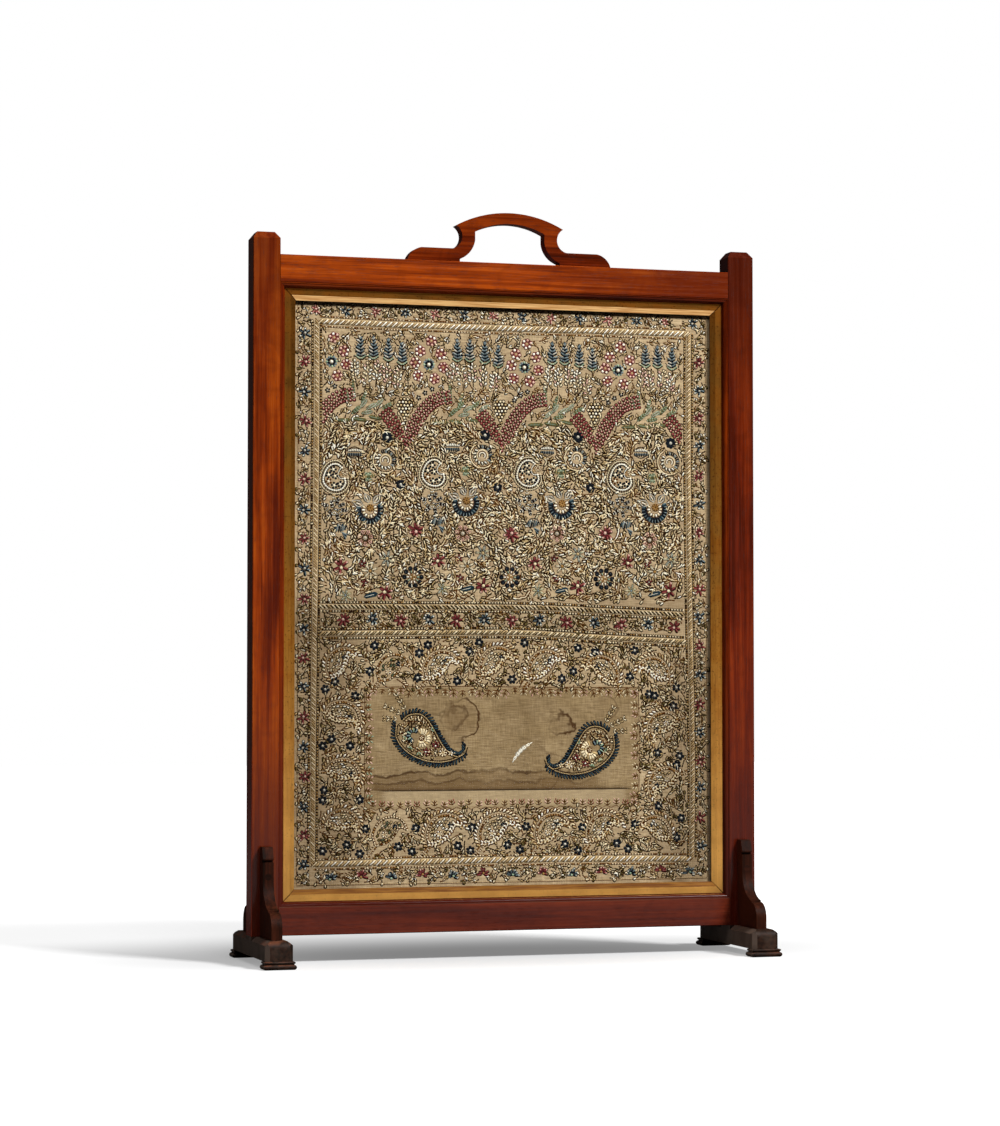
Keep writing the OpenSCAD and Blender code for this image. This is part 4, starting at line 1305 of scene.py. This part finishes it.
def linen_finish():
    """Undyed linen, browned and water-stained, with painted shade and a painted highlight at the tuck and painted
    shadow under the gilt slip.
    """
    f = Finish("old_linen")
    x, y, z = f.axes()
    weft = f.noise((60, 60, 900), detail=3)
    warp = f.noise((900, 60, 60), (3, 3, 3), detail=3)
    plain = f.stretched((1, 1, 1))
    threads = {"Vector": plain, "Scale": 300.0, "Distortion": 0.6}
    weave = f.node("ShaderNodeTexWave", {"bands_direction": "Z"}, threads, output="Fac")
    cross = f.node("ShaderNodeTexWave", {"bands_direction": "X"}, threads, output="Fac")
    cloud = f.noise((12, 12, 12), (1, 0, 2), detail=5, rough=0.6)
    colour = f.mix(f.spread(weft * 0.65 + warp * 0.35, 0.36, 0.64), srgb(172, 147, 112), srgb(226, 200, 158))
    colour = f.mix(f.spread(cloud, 0.35, 0.75, 0.0, 0.5), colour, srgb(132, 108, 76))
    plain_part = f.spread(x, -0.182, -0.174) * f.spread(x, 0.176, 0.168) * f.spread(z, 0.178, 0.184) * f.spread(z, 0.332, 0.326)
    dingy = f.noise((26, 26, 40), (4, 9, 2), detail=5, rough=0.65, bend=0.8)
    colour = f.mix(plain_part * f.spread(dingy, 0.3, 0.65, 0.7, 1.0), colour, srgb(208, 202, 187), "MULTIPLY")
    colour = f.mix((1 - weave * cross) * 0.14, colour, srgb(70, 52, 32))
    wander = (f.noise((24, 24, 24), (5, 5, 5), detail=4) - 0.5) * 0.03
    inside = f.spread(x, -0.175, -0.165) * f.spread(z, 0.203, 0.2045)
    ripple = wander + (f.noise((70, 70, 70), (8, 1, 8), detail=3) - 0.5) * 0.008
    for top, deep, rim in ((0.2255, 0.4, 0.85), (0.2145, 0.36, 0.6)):
        reach = inside * f.spread(x + ripple * 2, 0.13, 0.09)
        wet = f.spread(z + ripple, top, top - 0.0025) * reach
        colour = f.mix(wet * deep, colour, srgb(104, 76, 44))
        line = f.spread(z + ripple, top - 0.0035, top - 0.0015) * f.spread(z + ripple, top + 0.0012, top - 0.0005)
        colour = f.mix(line * reach * rim * f.spread(cloud, 0.35, 0.6, 0.45, 1.0), colour, srgb(66, 42, 22))
    # Painted shade: darker just above the tuck, and a dark painted shadow line along its fold.
    colour = f.mix(inside * f.spread(z, 0.2085, 0.2040) * f.spread(x, 0.17, 0.15) * 0.45, colour, srgb(66, 44, 24))
    tuck_shadow_line = f.spread(z, 0.2024, 0.2032) * f.spread(z, 0.2046, 0.2038) * f.spread(x, -0.165, -0.155) * f.spread(x, 0.165, 0.155)
    colour = f.mix(tuck_shadow_line * 0.8, colour, srgb(40, 24, 10))
    # Painted highlight: paler linen below the tuck's shadow line.
    pale = f.spread(z, 0.182, 0.185) * f.spread(z, 0.2035, 0.2025) * f.spread(x, -0.16, -0.15) * f.spread(x, 0.16, 0.15)
    colour = f.mix(pale * 0.4, colour, srgb(212, 188, 148))
    for cx, cz, r, much in ((-0.055, 0.287, 0.027, 1.0), (-0.068, 0.29, 0.013, 0.6), (0.068, 0.279, 0.019, 0.95),
                            (0.13, 0.3, 0.016, 0.5), (-0.09, 0.312, 0.02, 0.4), (0.045, 0.235, 0.024, 0.35)):
        dx = x - cx
        dz = z - cz
        far = (dx * dx + dz * dz * 1.2) ** 0.5 + wander * 2.6
        tide = f.spread(far, r - 0.004, r) * f.spread(far, r + 0.0028, r + 0.0006) * f.spread(dx, -0.6 * r, 0.5 * r, 0.25, 1.0)
        colour = f.mix(tide * much, colour, srgb(72, 46, 24))
        colour = f.mix(f.spread(far, r, r - 0.01) * much * 0.3, colour, srgb(110, 84, 52))
    colour = f.mix(soil(f), colour, srgb(82, 60, 36))
    # Painted shadow under the gilt slip.
    colour = f.mix(slip_shadow_paint(f), colour, srgb(22, 11, 4))
    pucker = f.noise((90, 90, 60), (2, 6, 1), detail=3, bend=0.5)
    relief = f.bump(weave * 0.5 + cross * 0.5 + weft, 0.5, 0.00025)
    waves = f.node("ShaderNodeBump", None, {"Height": pucker, "Strength": 0.6, "Distance": 0.002, "Normal": relief},
                   output="Normal")
    return f.shade(Base_Color=colour, Roughness=f.spread(weft, 0.3, 0.7, 0.8, 0.92), Normal=waves, Specular_IOR_Level=0.05)


def make_linen():
    """The linen, stretched over the strainer: a thin cloth with a tuck across it."""
    low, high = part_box("embroidered_panel")
    mesh = bpy.data.meshes.new("worked_linen")
    work = bmesh.new()
    across = [low.x / MM + (high.x - low.x) / MM * i / 60 for i in range(61)]
    heights = [low.z / MM + (high.z - low.z) / MM * j / 80 for j in range(81)]
    heights = sorted(h for h in heights if abs(h - TUCK_Z) > 1.5)
    heights = sorted(heights + [TUCK_Z - 0.25, TUCK_Z - 0.1, TUCK_Z + 0.02, TUCK_Z + 0.8])
    rows = [[work.verts.new((x * MM, cloth_y(x, z) * MM, z * MM)) for x in across] for z in heights]
    for a, b in zip(rows, rows[1:]):
        for i in range(len(across) - 1):
            work.faces.new((a[i], a[i + 1], b[i + 1], b[i]))
    work.to_mesh(mesh)
    work.free()
    mesh.shade_smooth()
    cloth = add_piece("worked_linen", mesh, linen_finish())
    thick = cloth.modifiers.new("thickness", "SOLIDIFY")
    thick.thickness = 0.00012
    thick.offset = -1
    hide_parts("embroidered_panel")
    return cloth, high.x - low.x, high.z - low.z


# Woodwork
def dress(name, finish):
    """Gives a solid of the frame its finish."""
    piece = nodes[name]
    if not piece.material_slots:
        piece.data.materials.append(finish)
    for slot in piece.material_slots:
        slot.material = finish


ORANGE = dict(pale=srgb(196, 92, 14), mid=srgb(156, 62, 7), deep=srgb(88, 24, 4))
RED = dict(pale=srgb(180, 82, 12), mid=srgb(140, 52, 6), deep=srgb(76, 19, 4))
BROWN_RED = dict(pale=srgb(138, 52, 6), mid=srgb(100, 30, 3), deep=srgb(54, 12, 2))
DEEP_RED = dict(pale=srgb(136, 48, 7), mid=srgb(100, 28, 4), deep=srgb(56, 12, 2))
PLUM = dict(pale=srgb(128, 52, 28), mid=srgb(98, 36, 20), deep=srgb(58, 18, 11))
RED_BLACK = dict(pale=srgb(70, 32, 18), mid=srgb(45, 20, 11), deep=srgb(18, 9, 5), gloss=0.5, foot=0.0)
DARK = dict(pale=srgb(62, 38, 26), mid=srgb(32, 20, 14), deep=srgb(12, 8, 6), gloss=0.5, foot=0.0)


def finish_woodwork():
    # The left post's left faces get painted shade, and painted light near the floor.
    dress("left_post", mahogany("post_mahogany_left", "z", 0.3, foot=0.78, head=0.6, left=srgb(94, 30, 5), low_left_painted_light=srgb(166, 50, 16),
                               **RED))
    dress("right_post", mahogany("post_mahogany_right", "z", 1.9, foot=0.55, head=0.8, **DEEP_RED))
    dress("top_rail", mahogany("rail_mahogany_top", "x", 4.1, side=0.85, **ORANGE))
    dress("bottom_rail", mahogany("rail_mahogany_bottom", "x", 6.7, **PLUM))
    dress("handle", mahogany("handle_mahogany", "x", 8.2, gleam=0.07, **BROWN_RED))
    lying = mahogany("bead_mahogany_lying", "x", 2.2, foot=0.95, gleam=0.06, lines=(0.0668, 0.0742), **BROWN_RED)
    standing = mahogany("bead_mahogany_standing", "z", 3.3, foot=0.9, gleam=0.1, **BROWN_RED)
    for side, finish in (("top", lying), ("bottom", lying), ("left", standing), ("right", standing)):
        dress("moulding_" + side, finish)
        dress("back_bead_" + side, finish)
    lying_gilt = gilding("gilding_lying", "x")
    standing_gilt = gilding("gilding_standing", "z")
    for side, finish in (("top", lying_gilt), ("bottom", lying_gilt), ("left", standing_gilt), ("right", standing_gilt)):
        dress("gilt_slip_" + side, finish)
    for k, side in enumerate(("top", "bottom", "left", "right")):
        dress("strainer_" + side, bare_wood("strainer_pine_" + side, "x" if k < 2 else "z", k * 2.1))
    dress("back_board", bare_wood("back_board_pine", "z", 9.3))
    dress("handle_dowels", bare_wood("dowel_wood", "z", 5.0))
    # The left faces of the feet and brackets get painted light.
    foot = mahogany("foot_mahogany", "y", 5.5, dust=0.16, gleam=0.09, left=srgb(132, 112, 100), top=0.6, **DARK)
    bracket = mahogany("bracket_mahogany", "z", 7.4, gleam=0.04, left=srgb(88, 42, 26), **RED_BLACK)
    pellet = mahogany("pellet_mahogany", "x", 2.9, gleam=0.05, **RED_BLACK)
    dress("bracket_pellets", pellet)
    for side in ("left", "right"):
        dress(side + "_foot_bar", foot)
        for end in ("front", "rear"):
            dress(side + "_" + end + "_pad", foot)
            dress(side + "_" + end + "_bracket", bracket)
    dress("bead_pins", metal("dull_brass", srgb(150, 118, 62), 0.4))
    dress("bracket_screws", metal("screw_steel", srgb(150, 150, 150), 0.35))
    dress("glass_pane", clear_glass())


# Floor and light
def make_floor():
    mesh = bpy.data.meshes.new("floor")
    mesh.from_pydata([(-9, -9, 0), (9, -9, 0), (9, 9, 0), (-9, 9, 0)], [], [(0, 1, 2, 3)])
    floor = bpy.data.objects.new("floor", mesh)
    bpy.context.scene.collection.objects.link(floor)
    f = Finish("pale_floor")
    x, y, z = f.axes()
    back = y - 0.05
    near = (x * x * 0.2 + back * back) ** 0.5
    # Painted contact shadow: the floor glows dimly under and beside the frame, brighter farther off.
    far = f.spread(near, 0.05, 0.42)
    glow_with_painted_shadow = f.mix(far, (0.22, 0.22, 0.22, 1), (0.82, 0.82, 0.82, 1))
    glow_with_painted_shadow = f.mix(f.spread(near, 0.5, 1.5), glow_with_painted_shadow, (1.2, 1.2, 1.2, 1))
    seen = f.node("ShaderNodeLightPath", output="Is Camera Ray")
    mirrored = f.node("ShaderNodeLightPath", output="Is Glossy Ray")
    glow_with_painted_shadow = f.mix(seen + mirrored * f.spread(y, -0.1, -0.4), (0, 0, 0, 1), glow_with_painted_shadow)
    body = f.mix(seen, (0.1, 0.1, 0.1, 1), (0.5, 0.5, 0.5, 1))
    shade = f.shade(Base_Color=body, Roughness=0.9, Emission_Color=glow_with_painted_shadow, Emission_Strength=1.0)
    mesh.materials.append(shade)


def add_lamp(name, place, target, size, power, tall=None):
    data = bpy.data.lights.new(name, "AREA")
    data.shape = "RECTANGLE"
    data.size = size
    data.size_y = tall or size
    data.energy = power
    lamp = bpy.data.objects.new(name, data)
    bpy.context.scene.collection.objects.link(lamp)
    lamp.location = place
    lamp.rotation_mode = "QUATERNION"
    lamp.rotation_quaternion = (Vector(target) - Vector(place)).to_track_quat("-Z", "Y")


def light_studio():
    add_lamp("key", (2.8, -3.8, 4.9), (0, 0, 0.45), 1.3, 570)
    add_lamp("top", (-0.8, -4.2, 6.0), (0, 0, 0.45), 2.4, 150)
    add_lamp("side", (-4.4, -4.6, 1.2), (0, 0, 0.45), 2.2, 2.5)
    world = bpy.data.worlds.new("studio")
    bpy.context.scene.world = world
    world.use_nodes = True
    tree = world.node_tree
    tree.nodes.clear()
    seen = add_node(tree, "ShaderNodeLightPath", output="Is Camera Ray")
    white = add_node(tree, "ShaderNodeBackground", None, {"Color": (1, 1, 1, 1), "Strength": 1.0})
    soft = add_node(tree, "ShaderNodeBackground", None, {"Color": (1, 1, 1, 1), "Strength": 0.03})
    both = add_node(tree, "ShaderNodeMixShader", None, {0: seen, 1: soft, 2: white})
    out = tree.nodes.new("ShaderNodeOutputWorld")
    tree.links.new(both.socket, out.inputs["Surface"])


finish_woodwork()
linen, linen_width, linen_height = make_linen()
silks = work_embroidery()
make_floor()
light_studio()
